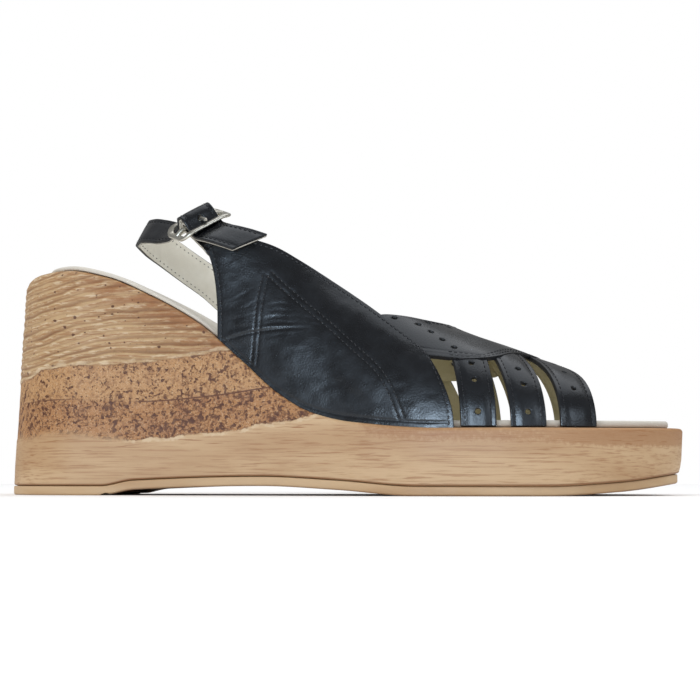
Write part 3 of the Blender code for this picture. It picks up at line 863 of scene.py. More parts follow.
    def rough_colour(self, graph: Graph, effects: Effects, where: Socket, x: Socket) -> tuple[Socket, Socket]:
        """Colour of the rough wood, with painted shade across each ridge and painted highlights on the ridge
        tops.

        Args:
            graph: Where the nodes go.
            effects: The shader groups that finishes share.
            where: Place on the unrolled side.
            x: Distance from the middle of the part.

        Returns:
            The colour and the mask of its grooves and worm holes.
        """
        turn = graph.math('FRACT', graph.math('ADD', graph.attribute("ridge"), 0.5))
        gap = graph.math('ABSOLUTE', graph.math('SUBTRACT', turn, 0.5))
        torn = graph.attribute("torn")
        fray = graph.streaks(where, 0.3, 1.4, 0.3, 3.0, 0.6)
        streak = graph.streaks(where, 0.07, 2.2, 0.3, 3.0, 0.6)
        pale = graph.streaks(where, 0.2, 1.3, 0.4, 4.0, 0.65)
        cloud = graph.streaks(where, 0.08, 0.35, 0.2, 4.0, 0.6)
        width = graph.times(graph.scaled(fray, 0.5, 0.08), graph.scaled(torn, 0.8, 0.45))
        groove = graph.times(graph.step(gap, width, 0.0), graph.scaled(torn, 0.6, 0.35))
        near = graph.times(graph.step(graph.attribute("rim"), 17.0, 1.0), graph.step(x, -108.0, -72.0))
        flat = graph.stretch(where, 0.8, 1.0, 0.8)
        wide, small = (
            effects.use(graph, effects.specks, Place=flat, Scale=scale, Share=share, Radius=radius)["Mask"]
            for scale, share, radius in ((0.28, 0.55, 0.13), (0.5, 0.35, 0.14)))
        worm = graph.math('MAXIMUM', wide, small)
        base = graph.paint(
            # Painted shade: each ridge runs from its lit colour to its shaded colour between two grooves
            graph.mix(graph.step(turn, 0.45, 1.0), self.rough_lit_face, self.rough_shaded_face),
            (graph.step(streak, 0.5, 0.68, 0.0, 0.6), self.stain),
            # Painted highlight: pale patches on the ridge tops, away from the grooves
            (graph.times(graph.step(gap, 0.14, 0.32), graph.step(pale, 0.5, 0.62, 0.0, 0.7)), self.fleck_and_highlight),
            (graph.times(near, graph.step(cloud, 0.4, 0.58, 0.0, 0.9)), self.stain),
            (graph.times(near, graph.step(fray, 0.55, 0.7, 0.0, 0.6)), self.shade),
            (graph.times(groove, 0.85), self.groove),
            (graph.times(worm, 0.9), self.speck))
        return base, graph.math('MAXIMUM', groove, worm)


@dataclass(frozen=True)
class TreadFinish(Finish):
    """Tread layer: smooth wood look on its edge, stained brown underneath."""

    edge_light: Colour = srgb(202, 174, 137)
    edge_dark: Colour = srgb(184, 151, 112)
    sole: Colour = srgb(150, 112, 82)
    sole_dark: Colour = srgb(104, 68, 46)

    def dress(self, graph: Graph, shader: Node, effects: Effects) -> None:
        """Colour the edge and the underside from the values on the mesh."""
        where, x, y = graph.unrolled()
        fibre = effects.use(graph, effects.fibre, Place=where)
        edge = graph.mix(graph.step(fibre["Tone"], 0.35, 0.65), self.edge_dark, self.edge_light)
        flat = graph.vector(x, y, 0.0)
        patch = graph.streaks(flat, 0.06, 0.12, 1.0, 5.0, 0.65)
        streak = graph.streaks(flat, 0.15, 0.9, 1.0, 4.0, 0.6)
        low = graph.paint(
            graph.mix(graph.step(patch, 0.35, 0.65), self.sole_dark, self.sole),
            (graph.step(streak, 0.5, 0.72, 0.0, 0.5), self.sole_dark),
            (graph.step(graph.attribute("pattern"), 0.55, 0.1, 0.0, 0.6), self.sole_dark),
            (graph.step(x, -77.0, -79.5, 0.0, 0.75), self.edge_dark))
        graph.fill(shader, {
            "Base Color": graph.mix(graph.attribute("under"), edge, low),
            "Roughness": graph.step(patch, 0.3, 0.7, self.roughness - 0.08, self.roughness + 0.08),
            "Normal": graph.bump(graph.math('ADD', streak, fibre["Grain"]), 0.3, 0.2),
        })


@dataclass(frozen=True)
class FloorFinish(Finish):
    """Plain pale floor."""

    colour: Colour = (0.95, 0.95, 0.95, 1.0)

    def dress(self, graph: Graph, shader: Node, effects: Effects) -> None:
        """Plain colour."""
        graph.fill(shader, {"Base Color": self.colour})


class Finishes:
    """Every finish of the sandal as a material."""

    leather: Material
    edge: Material
    raw: Material
    lining: Material
    inner: Material
    sock: Material
    thread: Material
    metal: Material
    wood: Material
    tread: Material
    floor: Material

    def __init__(self, effects: Effects) -> None:
        """Build the materials."""
        made = {
            # The black leather's second, lighter bluish colour is painted sheen in slow random patches
            "leather": SkinFinish("black_leather", 0.3, srgb(12, 13, 17), srgb(19, 21, 26), 1.5, 0.06, 0.06,
                                  (0.88, 0.94, 1, 1), 0.45),
            "edge": SkinFinish("inked_edge", 0.55, srgb(18, 19, 22), srgb(30, 31, 35), 2.5, 0.06),
            "raw": SkinFinish("raw_edge", 0.8, srgb(168, 163, 152), srgb(190, 186, 176), 3.0, 0.08),
            "lining": SkinFinish("lining", 0.72, srgb(236, 234, 224), srgb(226, 223, 211), 2.2, 0.06),
            # Painted shade: the upper's lining is the same cream leather as the strap lining, darkened to
            # olive for the shade inside the upper
            "inner": SkinFinish("shaded_inner_lining", 0.75, srgb(170, 162, 128), srgb(156, 147, 112), 2.2, 0.06),
            "sock": SkinFinish("insole_cover", 0.68, srgb(212, 208, 199), srgb(206, 202, 192), 1.9, 0.07),
            "thread": ThreadFinish("black_thread", 0.36, srgb(32, 34, 40)),
            "metal": MetalFinish("plated_metal", 0.34, srgb(206, 203, 193), srgb(180, 175, 163)),
            "wood": WoodLookFinish("wood_look", 0.56),
            "tread": TreadFinish("tread_stain", 0.62),
            "floor": FloorFinish("floor", 0.9),
        }
        for name, finish in made.items():
            setattr(self, name, finish.material(effects))


# Making pieces


def lay_grid(columns: int, rows: int, surface: Surface) -> Grid:
    """Grid of faces laid on a surface.

    Args:
        columns: Faces along the first share.
        rows: Faces along the second share.
        surface: Points in millimetres for shares from 0 to 1, alone or beside named vertex values.

    Returns:
        The grid, in metres.
    """
    bm = bmesh.new()
    bmesh.ops.create_grid(bm, x_segments=columns, y_segments=rows, size=0.5)
    flat = np.array([v.co[:2] for v in bm.verts]) + 0.5
    laid = surface(np.clip(flat[:, 0], 0.0, 1.0), np.clip(flat[:, 1], 0.0, 1.0))
    values = dict(laid) if isinstance(laid, dict) else {"points": laid}
    for vertex, point in zip(bm.verts, place(values.pop("points"))):
        vertex.co = point
    for name, numbers in values.items():
        layer = bm.verts.layers.float.new(name)
        for vertex, number in zip(bm.verts, numbers):
            vertex[layer] = number
    return bm


def close_up(bm: Grid, merge: float = 0.002) -> Grid:
    """Merge the meeting edges of a closed shape and turn its faces outward."""
    bmesh.ops.remove_doubles(bm, verts=bm.verts, dist=merge * MM)
    bmesh.ops.dissolve_degenerate(bm, edges=bm.edges, dist=merge * MM)
    bmesh.ops.recalc_face_normals(bm, faces=bm.faces)
    return bm


def make_piece(name: str, bm: Grid, materials: Sequence[Material],
               sharp: float = 40.0) -> Item:
    """Object from a bmesh.

    Args:
        name: Its name.
        bm: Its mesh in metres, which is freed.
        materials: Its finishes.
        sharp: Angle in degrees past which an edge isn't smooth.

    Returns:
        The object, in the scene.
    """
    mesh = bpy.data.meshes.new(name)
    bm.to_mesh(mesh)
    bm.free()
    mesh.shade_smooth()
    mesh.set_sharp_from_angle(angle=math.radians(sharp))
    item = bpy.data.objects.new(name, mesh)
    bpy.context.scene.collection.objects.link(item)
    for material in materials:
        mesh.materials.append(material)
    return item


def settle(item: Item) -> None:
    """Apply a piece's modifiers to its mesh, and keep its finishes in their places."""
    bpy.context.view_layer.update()
    shaped = item.evaluated_get(bpy.context.evaluated_depsgraph_get())
    mesh = bpy.data.meshes.new_from_object(shaped)
    old = item.data
    places = [face.material_index for face in mesh.polygons]
    mesh.materials.clear()
    for material in old.materials:
        mesh.materials.append(material)
    mesh.polygons.foreach_set("material_index", places)
    item.modifiers.clear()
    item.data = mesh
    mesh.name = item.name
    bpy.data.meshes.remove(old)


def dress_piece(item: Item, node: str | None) -> Item:
    """Fix a piece to the frame.

    Args:
        item: The piece.
        node: The solid that it stands in for, if any.

    Returns:
        The piece.
    """
    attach(item, BODY)
    if node:
        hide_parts(node)
    LOG.info("%s: %d faces", item.name, len(item.data.polygons))
    return item


def cut(item: Item, cutter: Grid) -> None:
    """Cut a shape out of a piece, whose new walls get the edge finish.

    Args:
        item: The piece.
        cutter: The shape that is taken away.
    """
    tool = make_piece(item.name + "_cutter", cutter, ())
    for face in tool.data.polygons:
        face.material_index = Layer.EDGE.value
    for material in item.data.materials:
        tool.data.materials.append(material)
    modifier = item.modifiers.new("cut", 'BOOLEAN')
    modifier.operation = 'DIFFERENCE'
    modifier.solver = 'MANIFOLD'
    modifier.object = tool
    settle(item)
    bpy.data.objects.remove(tool)


def add_peg(bm: Grid, centre: Array, way: Array, radius: float, length: float, sides: int = 18) -> None:
    """Add a round peg about a centre and along a direction, given in millimetres."""
    turn = Vector(way).to_track_quat('Z', 'X').to_matrix().to_4x4()
    bmesh.ops.create_cone(bm, cap_ends=True, segments=sides, radius1=radius * MM, radius2=radius * MM,
                          depth=length * MM, matrix=Matrix.Translation(Vector(place(centre))) @ turn)


def punches(centres: Array, normals: Array, radius: float, length: float = 8.0) -> Grid:
    """Round punches standing on a surface, as one mesh in metres."""
    bm = bmesh.new()
    for centre, normal in zip(centres, normals):
        add_peg(bm, centre, normal, radius, length)
    return bm


@dataclass(frozen=True)
class Thread:
    """Row of stitches along a line on a surface."""

    pitch: float = 1.95
    length: float = 1.35
    radius: float = 0.27
    sink: float = 0.03

    def sew(self, seams: list[Matrix], line: Array, normals: Array) -> None:
        """Add the stitches of one row.

        Args:
            seams: Where the places of the stitches are gathered.
            line: Points of the row in millimetres.
            normals: Outward directions at those points.
        """
        along = walked(line)
        count = int((along[-1] - self.length) / self.pitch)
        start = 0.5 * (along[-1] - count * self.pitch)
        size = Matrix.Diagonal((0.5 * self.length * MM, self.radius * MM, 0.8 * self.radius * MM, 1.0))
        for k in range(count + 1):
            spot = start + k * self.pitch
            centre, before, after, up = (
                np.array([np.interp(spot + shift, along, data[:, axis]) for axis in range(3)])
                for data, shift in ((line, 0.0), (line, -0.5), (line, 0.5), (normals, 0.0)))
            way = Vector(after - before).normalized()
            across = Vector(up).cross(way).normalized()
            out = way.cross(across)
            turn = Matrix((way, across, out)).transposed().to_4x4()
            centre = centre + np.array(out) * (0.5 * self.radius - self.sink)
            seams.append(Matrix.Translation(Vector(place(centre))) @ turn @ size)


def make_threads(name: str, seams: Sequence[Matrix], material: Material) -> Item:
    """All stitches of a piece as one mesh, each a small ball drawn out along its row.

    Args:
        name: The piece's name.
        seams: The places of its stitches.
        material: The thread's finish.

    Returns:
        The piece.
    """
    ball = bmesh.new()
    lying = Matrix.Rotation(math.pi / 2, 4, 'Y')
    bmesh.ops.create_uvsphere(ball, u_segments=6, v_segments=6, radius=1.0, matrix=lying)
    points = np.array([tuple(v.co) + (1.0,) for v in ball.verts])
    faces = [[v.index for v in f.verts] for f in ball.faces]
    ball.free()
    places = np.array([[tuple(row) for row in m] for m in seams])
    spread = np.einsum("kij,nj->kni", places, points)[..., :3].reshape(-1, 3)
    mesh = bpy.data.meshes.new(name)
    corners = [[v + k * len(points) for v in face] for k in range(len(seams)) for face in faces]
    mesh.from_pydata(spread.tolist(), [], corners)
    bm = bmesh.new()
    bm.from_mesh(mesh)
    bpy.data.meshes.remove(mesh)
    return make_piece(name, bm, (material,), 80.0)


@dataclass
class LeatherSheet:
    """Piece of lined leather laid on a surface, with rounded edges."""

    name: str
    columns: int
    rows: int
    surface: Surface
    outward: Spot
    thick: float = 1.7
    rounding: float = 0.45
    rim_angle: float = 50.0

    def build(self, face: Material, lining: Material,
              edge: Material) -> Item:
        """Lay the face, add thickness and lining, and round the edges.

        Args:
            face: Finish of the outside.
            lining: Finish of the inside.
            edge: Finish of the cut edge.

        Returns:
            The piece, with its modifiers applied.
        """
        bm = lay_grid(self.columns, self.rows, self.surface)
        bm.faces.ensure_lookup_table()
        bm.normal_update()
        if bm.faces[0].normal.dot(Vector(self.outward)) < 0.0:
            bmesh.ops.reverse_faces(bm, faces=bm.faces)
        item = make_piece(self.name, bm, (face, lining, edge))
        shell = item.modifiers.new("thickness", 'SOLIDIFY')
        shell.thickness = self.thick * MM
        shell.offset = -1.0
        shell.material_offset = Layer.LINING.value
        shell.material_offset_rim = Layer.EDGE.value
        soft = item.modifiers.new("rounding", 'BEVEL')
        soft.width = self.rounding * MM
        soft.segments = 3
        soft.limit_method = 'ANGLE'
        soft.angle_limit = math.radians(self.rim_angle)
        settle(item)
        return item


# Sole


@dataclass
class EdgeLoop:
    """Fine loop round the sole's outline: heel, outer side, toe, inner side and back."""

    form: FootForm
    half: int

    def __post_init__(self) -> None:
        """Work out the loop and its inward directions."""
        x, along = self.form.stations(self.half + 1)
        self.x = np.concatenate((x, x[-2::-1]))
        self.along = np.concatenate((along, along[-2::-1]))
        self.side = np.where(np.arange(2 * self.half + 1) <= self.half, -1, 1)
        self.y = self.side * self.form.half_width(self.x, self.side)
        points = np.column_stack((self.x, self.y))[:-1]
        way = unit(np.roll(points, -1, axis=0) - np.roll(points, 1, axis=0))
        inward = np.column_stack((-way[:, 1], way[:, 0]))
        self.inward = np.vstack((inward, inward[:1]))

    def index(self, s: Array) -> Array:
        """Place in the loop for shares from 0 to 1."""
        return np.rint(s * 2 * self.half).astype(int)

    def moved(self, k: Array, inset: Array, shrink: Array) -> Pair:
        """Loop points moved inward.

        Args:
            k: Places in the loop.
            inset: How far they move.
            shrink: Share of their distance that is left from the middle line, where both sides meet.

        Returns:
            The points' two coordinates in plan.
        """
        x = self.x[k] + self.inward[k, 0] * inset
        mean = 0.5 * (x + self.x[k] + self.inward[2 * self.half - k, 0] * inset)
        return mean + (x - mean) * shrink, (self.y[k] + self.inward[k, 1] * inset) * shrink


@dataclass
class SoleLayer:
    """Closed layer of the sole: loops round its outline, in stages of rows from one cap to the other."""

    form: FootForm
    half: int
    stage_rows: tuple[int, ...]

    def __post_init__(self) -> None:
        """Set out the loop and the rows, each stage with shares from 0 to 1."""
        self.loop = EdgeLoop(self.form, self.half)
        shares = [np.linspace(0.0, 1.0, rows + 1)[min(i, 1):] for i, rows in enumerate(self.stage_rows)]
        self.part = np.concatenate(shares)
        self.stage = np.concatenate([np.full(len(p), i) for i, p in enumerate(shares)])

    def sample(self, s: Array, t: Array) -> tuple[Array, Array, Array]:
        """Place in the loop, share of the stage and stage at shares round the layer and of its rows."""
        row = np.rint(t * (len(self.part) - 1)).astype(int)
        return self.loop.index(s), self.part[row], self.stage[row]

    def spread(self, s: Array, t: Array) -> dict[str, Array]:
        """Every value of the layer's surface.

        Args:
            s: Share round the loop.
            t: Share of the rows.

        Returns:
            Points and the values that the finish reads, by name.
        """
        raise NotImplementedError

    def make(self, name: str, finish: Material, node: str, slot: Slot) -> Item:
        """Make the layer and put it in place of its solid."""
        bm = lay_grid(2 * self.half, len(self.part) - 1, self.spread)
        return dress_piece(make_piece(name, close_up(bm), (finish,), 60.0), node)


@dataclass
class WedgeUnit(SoleLayer):
    """Moulded unit: rough wood and cork on the heel, smooth wood along the platform."""

    half: int = 250
    # Rows of the bottom cap, lower bevel, side, top rounding and top cap
    stage_rows: tuple[int, ...] = (3, 3, 157, 8, 3)
    tread_thick: float = 3.1
    low_round: float = 0.5
    rim_round: float = 1.2
    heel_rim_round: float = 6.4
    toe_undercut: float = 1.5
    seat_inset: float = 1.6
    foot_inset: float = 0.15
    ridge_pitch: float = 2.55
    ridge_base: float = 44.0
    ridge_droop: float = 8.0
    cork_sink: float = 0.18
    line_depth: float = 0.22
    # x, height of the lower edge of the rough wood
    rough_edge: Table = curve(
        (0, 38.8), (7, 40), (14, 43), (24, 44.4), (40, 44.6), (58, 46), (72, 47.4),
        (90, 50))
    # x, height of the lower edge of the cork
    cork_edge: Table = curve(
        (0, 19.4), (12, 20), (20, 21.4), (36, 20.4), (49, 19), (65, 20), (81, 21.4),
        (96, 24.2), (108, 25.2), (118, 30), (236, 60))
    # x, height of the thin dark line, its strength
    line: Table = curve(
        (0, 31.6, 0), (11, 32.3, 0.5), (19, 32.8, 0.9), (27, 32.9, 0.4), (36, 32.4, 0),
        (48, 32, 0), (53, 32, 0.9), (75, 33.4, 1), (96, 36, 1), (110, 38, 0))

    def __post_init__(self) -> None:
        """Set out the rows and the wander of the wood."""
        super().__post_init__()
        self.wave = Drift(4, 26.0, 9.0)
        self.fret = Drift(5, 7.0, 2.4)
        self.swell = Drift(6, 15.0, 5.0)

    def low(self, x: Array) -> Array:
        """Height of the unit's lower edge."""
        return self.form.underside(x) + self.tread_thick + self.form.gap

    def top_round(self, x: Array) -> Array:
        """Radius of the unit's top edge."""
        return self.rim_round + (self.heel_rim_round - self.rim_round) * (1.0 - ease(x, 3.0, 30.0))

    def ridge(self, x: Array, along: Array, z: Array) -> Array:
        """Count of the rough wood's grooves up to a height, a whole number on each groove."""
        droop = self.ridge_droop * (1.0 - ease(x, 2.0, 46.0))
        fan = 0.03 * (z - self.ridge_base) * ease(x, 20.0, 70.0)
        wander = self.wave(along, z) + 0.42 * self.fret(along, z)
        return (z - self.ridge_base + droop + fan + wander) / self.ridge_pitch

    def torn(self, along: Array, turn: Array) -> Array:
        """How deep and wide each groove is on its way, from 0 to 1."""
        return np.clip(0.5 + 0.65 * self.swell(along, 7.0 * np.rint(turn)), 0.0, 1.0)

    def relief(self, x: Array, along: Array, z: Array) -> Array:
        """Low relief of the side.

        Args:
            x: Distances from the heel.
            along: Lengths along the sole's edge.
            z: Heights.

        Returns:
            How far it stands out or in, in millimetres.
        """
        turn = self.ridge(x, along, z)
        gap = np.abs(turn - np.rint(turn)) * self.ridge_pitch
        groove = (0.1 + 0.32 * self.torn(along, turn)) * (0.3 + 0.7 * ease(x, 1.0, 12.0)) * bell(gap, 0.5)
        rough = -groove - 0.08 * np.cos(2.0 * np.pi * turn) + 0.08 * self.fret(along, z)
        line = -self.line_depth * self.line(x, 1) * bell(z - self.line(x), 0.3)
        on_rough = ease(z - self.rough_edge(x), -0.5, 0.5)
        on_cork = ease(z - self.cork_edge(x), -0.4, 0.4) * (1.0 - on_rough)
        return on_rough * (rough + 0.05) + on_cork * (line - self.cork_sink + 0.05 * self.fret(along, z))

    def spread(self, s: Array, t: Array) -> dict[str, Array]:
        """Every value of the unit's surface, from its bottom to its top."""
        k, part, stage = self.sample(s, t)
        x0, along, side = self.loop.x[k], self.loop.along[k], self.loop.side[k]
        undercut = self.toe_undercut * ease(x0, 185.0, self.form.length)
        top, radius = self.form.footbed(x0), self.top_round(x0)
        turn = part * math.pi / 2.0
        lean = undercut * np.interp(part, (0.0, 0.3, 0.6, 1.0), (0.8, 0.35, 0.2, 0.0))
        low_bend = (self.low_round + 0.2 * undercut) * (1.0 - np.sin(turn))
        inset = np.select([stage == 0, stage == 1, stage == 2, stage == 3], [
            self.seat_inset + undercut,
            self.foot_inset + 0.8 * undercut + low_bend,
            self.foot_inset * (1.0 - ease(part, 0.0, 0.1)) + lean,
            radius * (1.0 - np.cos(turn)),
        ], radius)
        shrink = np.select([stage == 0, stage == 4], [part, 1.0 - part], 1.0)
        x, y = self.loop.moved(k, inset, shrink)
        base = self.low(x)
        climb = base + self.low_round + part * (top - radius - base - self.low_round)
        z = np.select([stage == 0, stage == 1, stage == 2, stage == 3], [
            base - self.form.gap,
            base + self.low_round * (1.0 - np.cos(turn)),
            climb,
            top - radius * (1.0 - np.sin(turn)),
        ], top)
        wide = np.maximum(self.form.half_width(x, side), 1.0)
        y = y * (1.0 - self.form.side_taper(x, z) / wide)
        shown = np.select([stage == 2, stage == 3], [1.0, 1.0 - part], 0.0)
        fade = shown * ease(top - z, 0.2, 2.5) * ease(z - base, 0.8, 2.0)
        out = fade * self.relief(x0, along, z)
        x = x + self.form.setback(x, z) - self.loop.inward[k, 0] * out
        y = y - self.loop.inward[k, 1] * out
        toe = 0.45 * ease(x0, 112.0, 140.0) + 0.55 * ease(x0, 186.0, 214.0)
        turns = self.ridge(x0, along, z)
        return {
            "points": stack(x, y, z), "along": along, "ridge": turns, "torn": self.torn(along, turns),
            "rustic": z - self.rough_edge(x0), "cork": z - self.cork_edge(x0), "line": z - self.line(x0),
            "line_strength": self.line(x0, 1), "rim": top - z + inset * (stage >= 3), "foot": z - base,
            "toe": toe * (1.0 - ease(top - z, 2.0, 9.0)),
        }

    def build(self, finishes: Finishes) -> Item:
        """Make the unit and put it in place of its solid."""
        return self.make("wedge_unit", finishes.wood, "platform_wedge", Slot.UNIT)


@dataclass
class TreadLayer(SoleLayer):
    """Tread layer under the unit, with its moulded rosettes and the groove before the heel patch."""

    half: int = 240
    # Rows of the top cap, top bevel, side, lower bevel and underside
    stage_rows: tuple[int, ...] = (2, 3, 3, 4, 69)
    thick: float = 3.1
    inset: float = 0.25
    toe_inset: float = 1.7
    groove_x: float = 40.0
    groove_width: float = 1.5
    groove_depth: float = 1.5
    rosette_pitch: float = 9.0
    diamond: float = 1.7
    relief_depth: float = 0.4
    high_round: float = 0.4
    low_round: float = 0.7
    petal: float = 2.9
    border: float = 4.0

    def __post_init__(self) -> None:
        """Set out the rows and the groove's torn edge."""
        super().__post_init__()
        self.torn = Drift(12, 1.1, 2.0)

    def rosettes(self, x: Array, y: Array) -> Array:
        """Moulded pattern: six-petalled rosettes in diamonds.

        Args:
            x: Distances from the heel.
            y: Distances from the middle line.

        Returns:
            The pattern's height from 0 to 1.
        """
        pitch, slope = self.rosette_pitch, self.diamond
        a = (x + slope * y) / (slope * pitch)
        b = (x - slope * y) / (slope * pitch)
        da, db = a - np.rint(a), b - np.rint(b)
        px = 0.5 * slope * pitch * (da + db)
        py = 0.5 * pitch * (da - db)
        radius, turn = np.hypot(px, py), np.arctan2(py, px)
        flower = bell(radius - self.petal * (0.72 + 0.28 * np.cos(6.0 * turn)), 0.42)
        eye = bell(radius, 0.8)
        rim = bell(np.minimum(0.5 - np.abs(da), 0.5 - np.abs(db)) * pitch, 0.45)
        return np.clip(flower + eye + rim, 0.0, 1.0)

    def spread(self, s: Array, t: Array) -> dict[str, Array]:
        """Every value of the layer's surface, from its top to the middle of its underside."""
        k, part, stage = self.sample(s, t)
        turn = part * math.pi / 2.0
        edge = self.inset + self.toe_inset * ease(self.loop.x[k], 120.0, self.form.length)
        thick, high, low = self.thick, self.high_round, self.low_round
        steps = [stage == 0, stage == 1, stage == 2, stage == 3]
        inset = edge + np.select(steps, [
            high, high * (1.0 - np.sin(turn)), 0.0, low * (1.0 - np.cos(turn))], low)
        rise = np.select(steps, [
            thick, thick - high + high * np.cos(turn), thick - high - part * (thick - high - low),
            low * (1.0 - np.sin(turn))], 0.0)
        shrink = np.select([stage == 0, stage == 4], [part, 1.0 - part], 1.0)
        x, y = self.loop.moved(k, inset, shrink)
        under = np.where(stage >= 3, np.where(stage == 3, part, 1.0), 0.0)
        rugged = self.groove_x + 0.35 * self.torn(y, 0.0 * y)
        groove = np.clip(1.0 - np.abs(x - rugged) / self.groove_width, 0.0, 1.0) * self.groove_depth
        inner = np.minimum(np.abs(self.loop.y[k]) * (1.0 - shrink), self.border) / self.border
        zone = ease(x, 52.0, 58.0) * ease(inner, 0.4, 0.9) * (1.0 - ease(x, 226.0, 231.0))
        pattern = self.rosettes(x, y)
        sunk = self.relief_depth * zone * (1.0 - pattern)
        z = self.form.underside(x) + rise + under * (groove + sunk)
        return {"points": stack(x, y, z), "along": self.loop.along[k], "under": under,
                "pattern": 1.0 - zone * (1.0 - pattern) - ease(groove, 0.2, 0.9)}

    def build(self, finishes: Finishes) -> Item:
        """Make the tread layer and put it in place of its solid."""
        return self.make("tread_layer", finishes.tread, "outsole", Slot.TREAD)


@dataclass
class Insole(SoleLayer):
    """Covered insole board with a soft turned edge."""

    half: int = 150
    # Rows of the bottom, the turned edge and the top
    stage_rows: tuple[int, ...] = (3, 8, 13)
    cushion: float = 0.35
    margin: float = 2.0
    heel_margin: float = 7.2
    waist_margin: float = 2.8
    thick: float = 1.5
    front_thick: float = 2.2
    edge_round: float = 0.6

    def __post_init__(self) -> None:
        """Set out the rows and the dents of the cover."""
        super().__post_init__()
        self.dent = Drift(21, 16.0, 12.0)

    def spread(self, s: Array, t: Array) -> dict[str, Array]:
        """Points of the board, from its bottom to its top."""
        k, part, stage = self.sample(s, t)
        x0 = self.loop.x[k]
        heel, waist = 1.0 - ease(x0, 0.0, 34.0), ease(x0, 66.0, 82.0)
        margin = self.margin + self.heel_margin * heel + self.waist_margin * waist
        thick = self.thick + (self.front_thick - self.thick) * ease(x0, 66.0, 100.0)
        turn = part * math.pi
        inset = margin + self.edge_round * np.where(stage == 1, 1.0 - np.sin(turn), 1.0)
        shrink = np.select([stage == 0, stage == 2], [part, 1.0 - part], 1.0)
        x, y = self.loop.moved(k, inset, shrink)
        high = np.select([stage == 0, stage == 1], [0.0, 0.5 * (1.0 - np.cos(turn))], 1.0)
        soft = np.where(stage == 2, np.sin(np.pi * np.clip(part, 0.0, 0.5)), 0.0)
        swell = self.cushion * soft * (0.6 + 0.4 * self.dent(x, y))
        z = self.form.footbed(x) + self.form.gap + high * thick + swell
        return {"points": stack(x + self.form.setback(x, z), y, z)}

    def build(self, finishes: Finishes) -> Item:
        """Make the insole and put it in place of its solid."""
        return self.make("insole_board", finishes.sock, "insole", Slot.SOCK)


# Upper


@dataclass(frozen=True)
class Crease:
    """Soft trough in the leather with a low ridge on its left, drawn in side view."""

    path: Line
    depth: float = 0.036
    width: float = 0.5
    ridge: float = 0.018

    def relief(self, x: Array, z: Array) -> Array:
        """How far the leather stands out or in, in millimetres."""
        gap, share = reach(self.path, x, z)
        fade = np.sin(np.pi * np.clip(share, 0.0, 1.0)) ** 0.6
        ridge = self.ridge * bell(gap - 1.9 * self.width, 1.4 * self.width)
        return fade * (ridge - self.depth * bell(gap, self.width))


@dataclass(frozen=True)
class UpperSizes:
    """Sizes that the pieces of the upper share."""

    thick: float = 1.7
    quarter_lift: float = 0.7
    vamp_lift: float = 0.1
    strap_lift: float = -0.5
    edge_row: float = 1.6
    row_gap: float = 1.9
    trench: float = 0.1
    trench_width: float = 0.42
    hole: float = 0.95


@dataclass
class UpperPiece:
    """Piece of the upper: a lined sheet with punched holes and rows of stitches."""

    sizes: ClassVar[UpperSizes] = UpperSizes()
    thread: ClassVar[Thread] = Thread()
    form: FootForm
    name: str

    def sheet(self) -> LeatherSheet:
        """The piece before it is punched and sewn."""
        raise NotImplementedError

    def holes(self) -> Pair | None:
        """Centres and directions of the punched holes, if any."""
        return None

    def stitch_lines(self) -> list[Pair]:
        """Rows of stitches as points and outward directions."""
        raise NotImplementedError

    def build(self, finishes: Finishes, threads: list[Matrix]) -> Item:
        """Make the piece, punch it and sew its rows.

        Args:
            finishes: The materials.
            threads: Where the places of its stitches are gathered.

        Returns:
            The piece, fixed to the frame.
        """
        item = self.sheet().build(finishes.leather, finishes.inner, finishes.edge)
        holes = self.holes()
        if holes:
            cut(item, punches(*holes, self.sizes.hole))
        for line, normals in self.stitch_lines():
            self.thread.sew(threads, line, normals)
        return dress_piece(item, "upper")


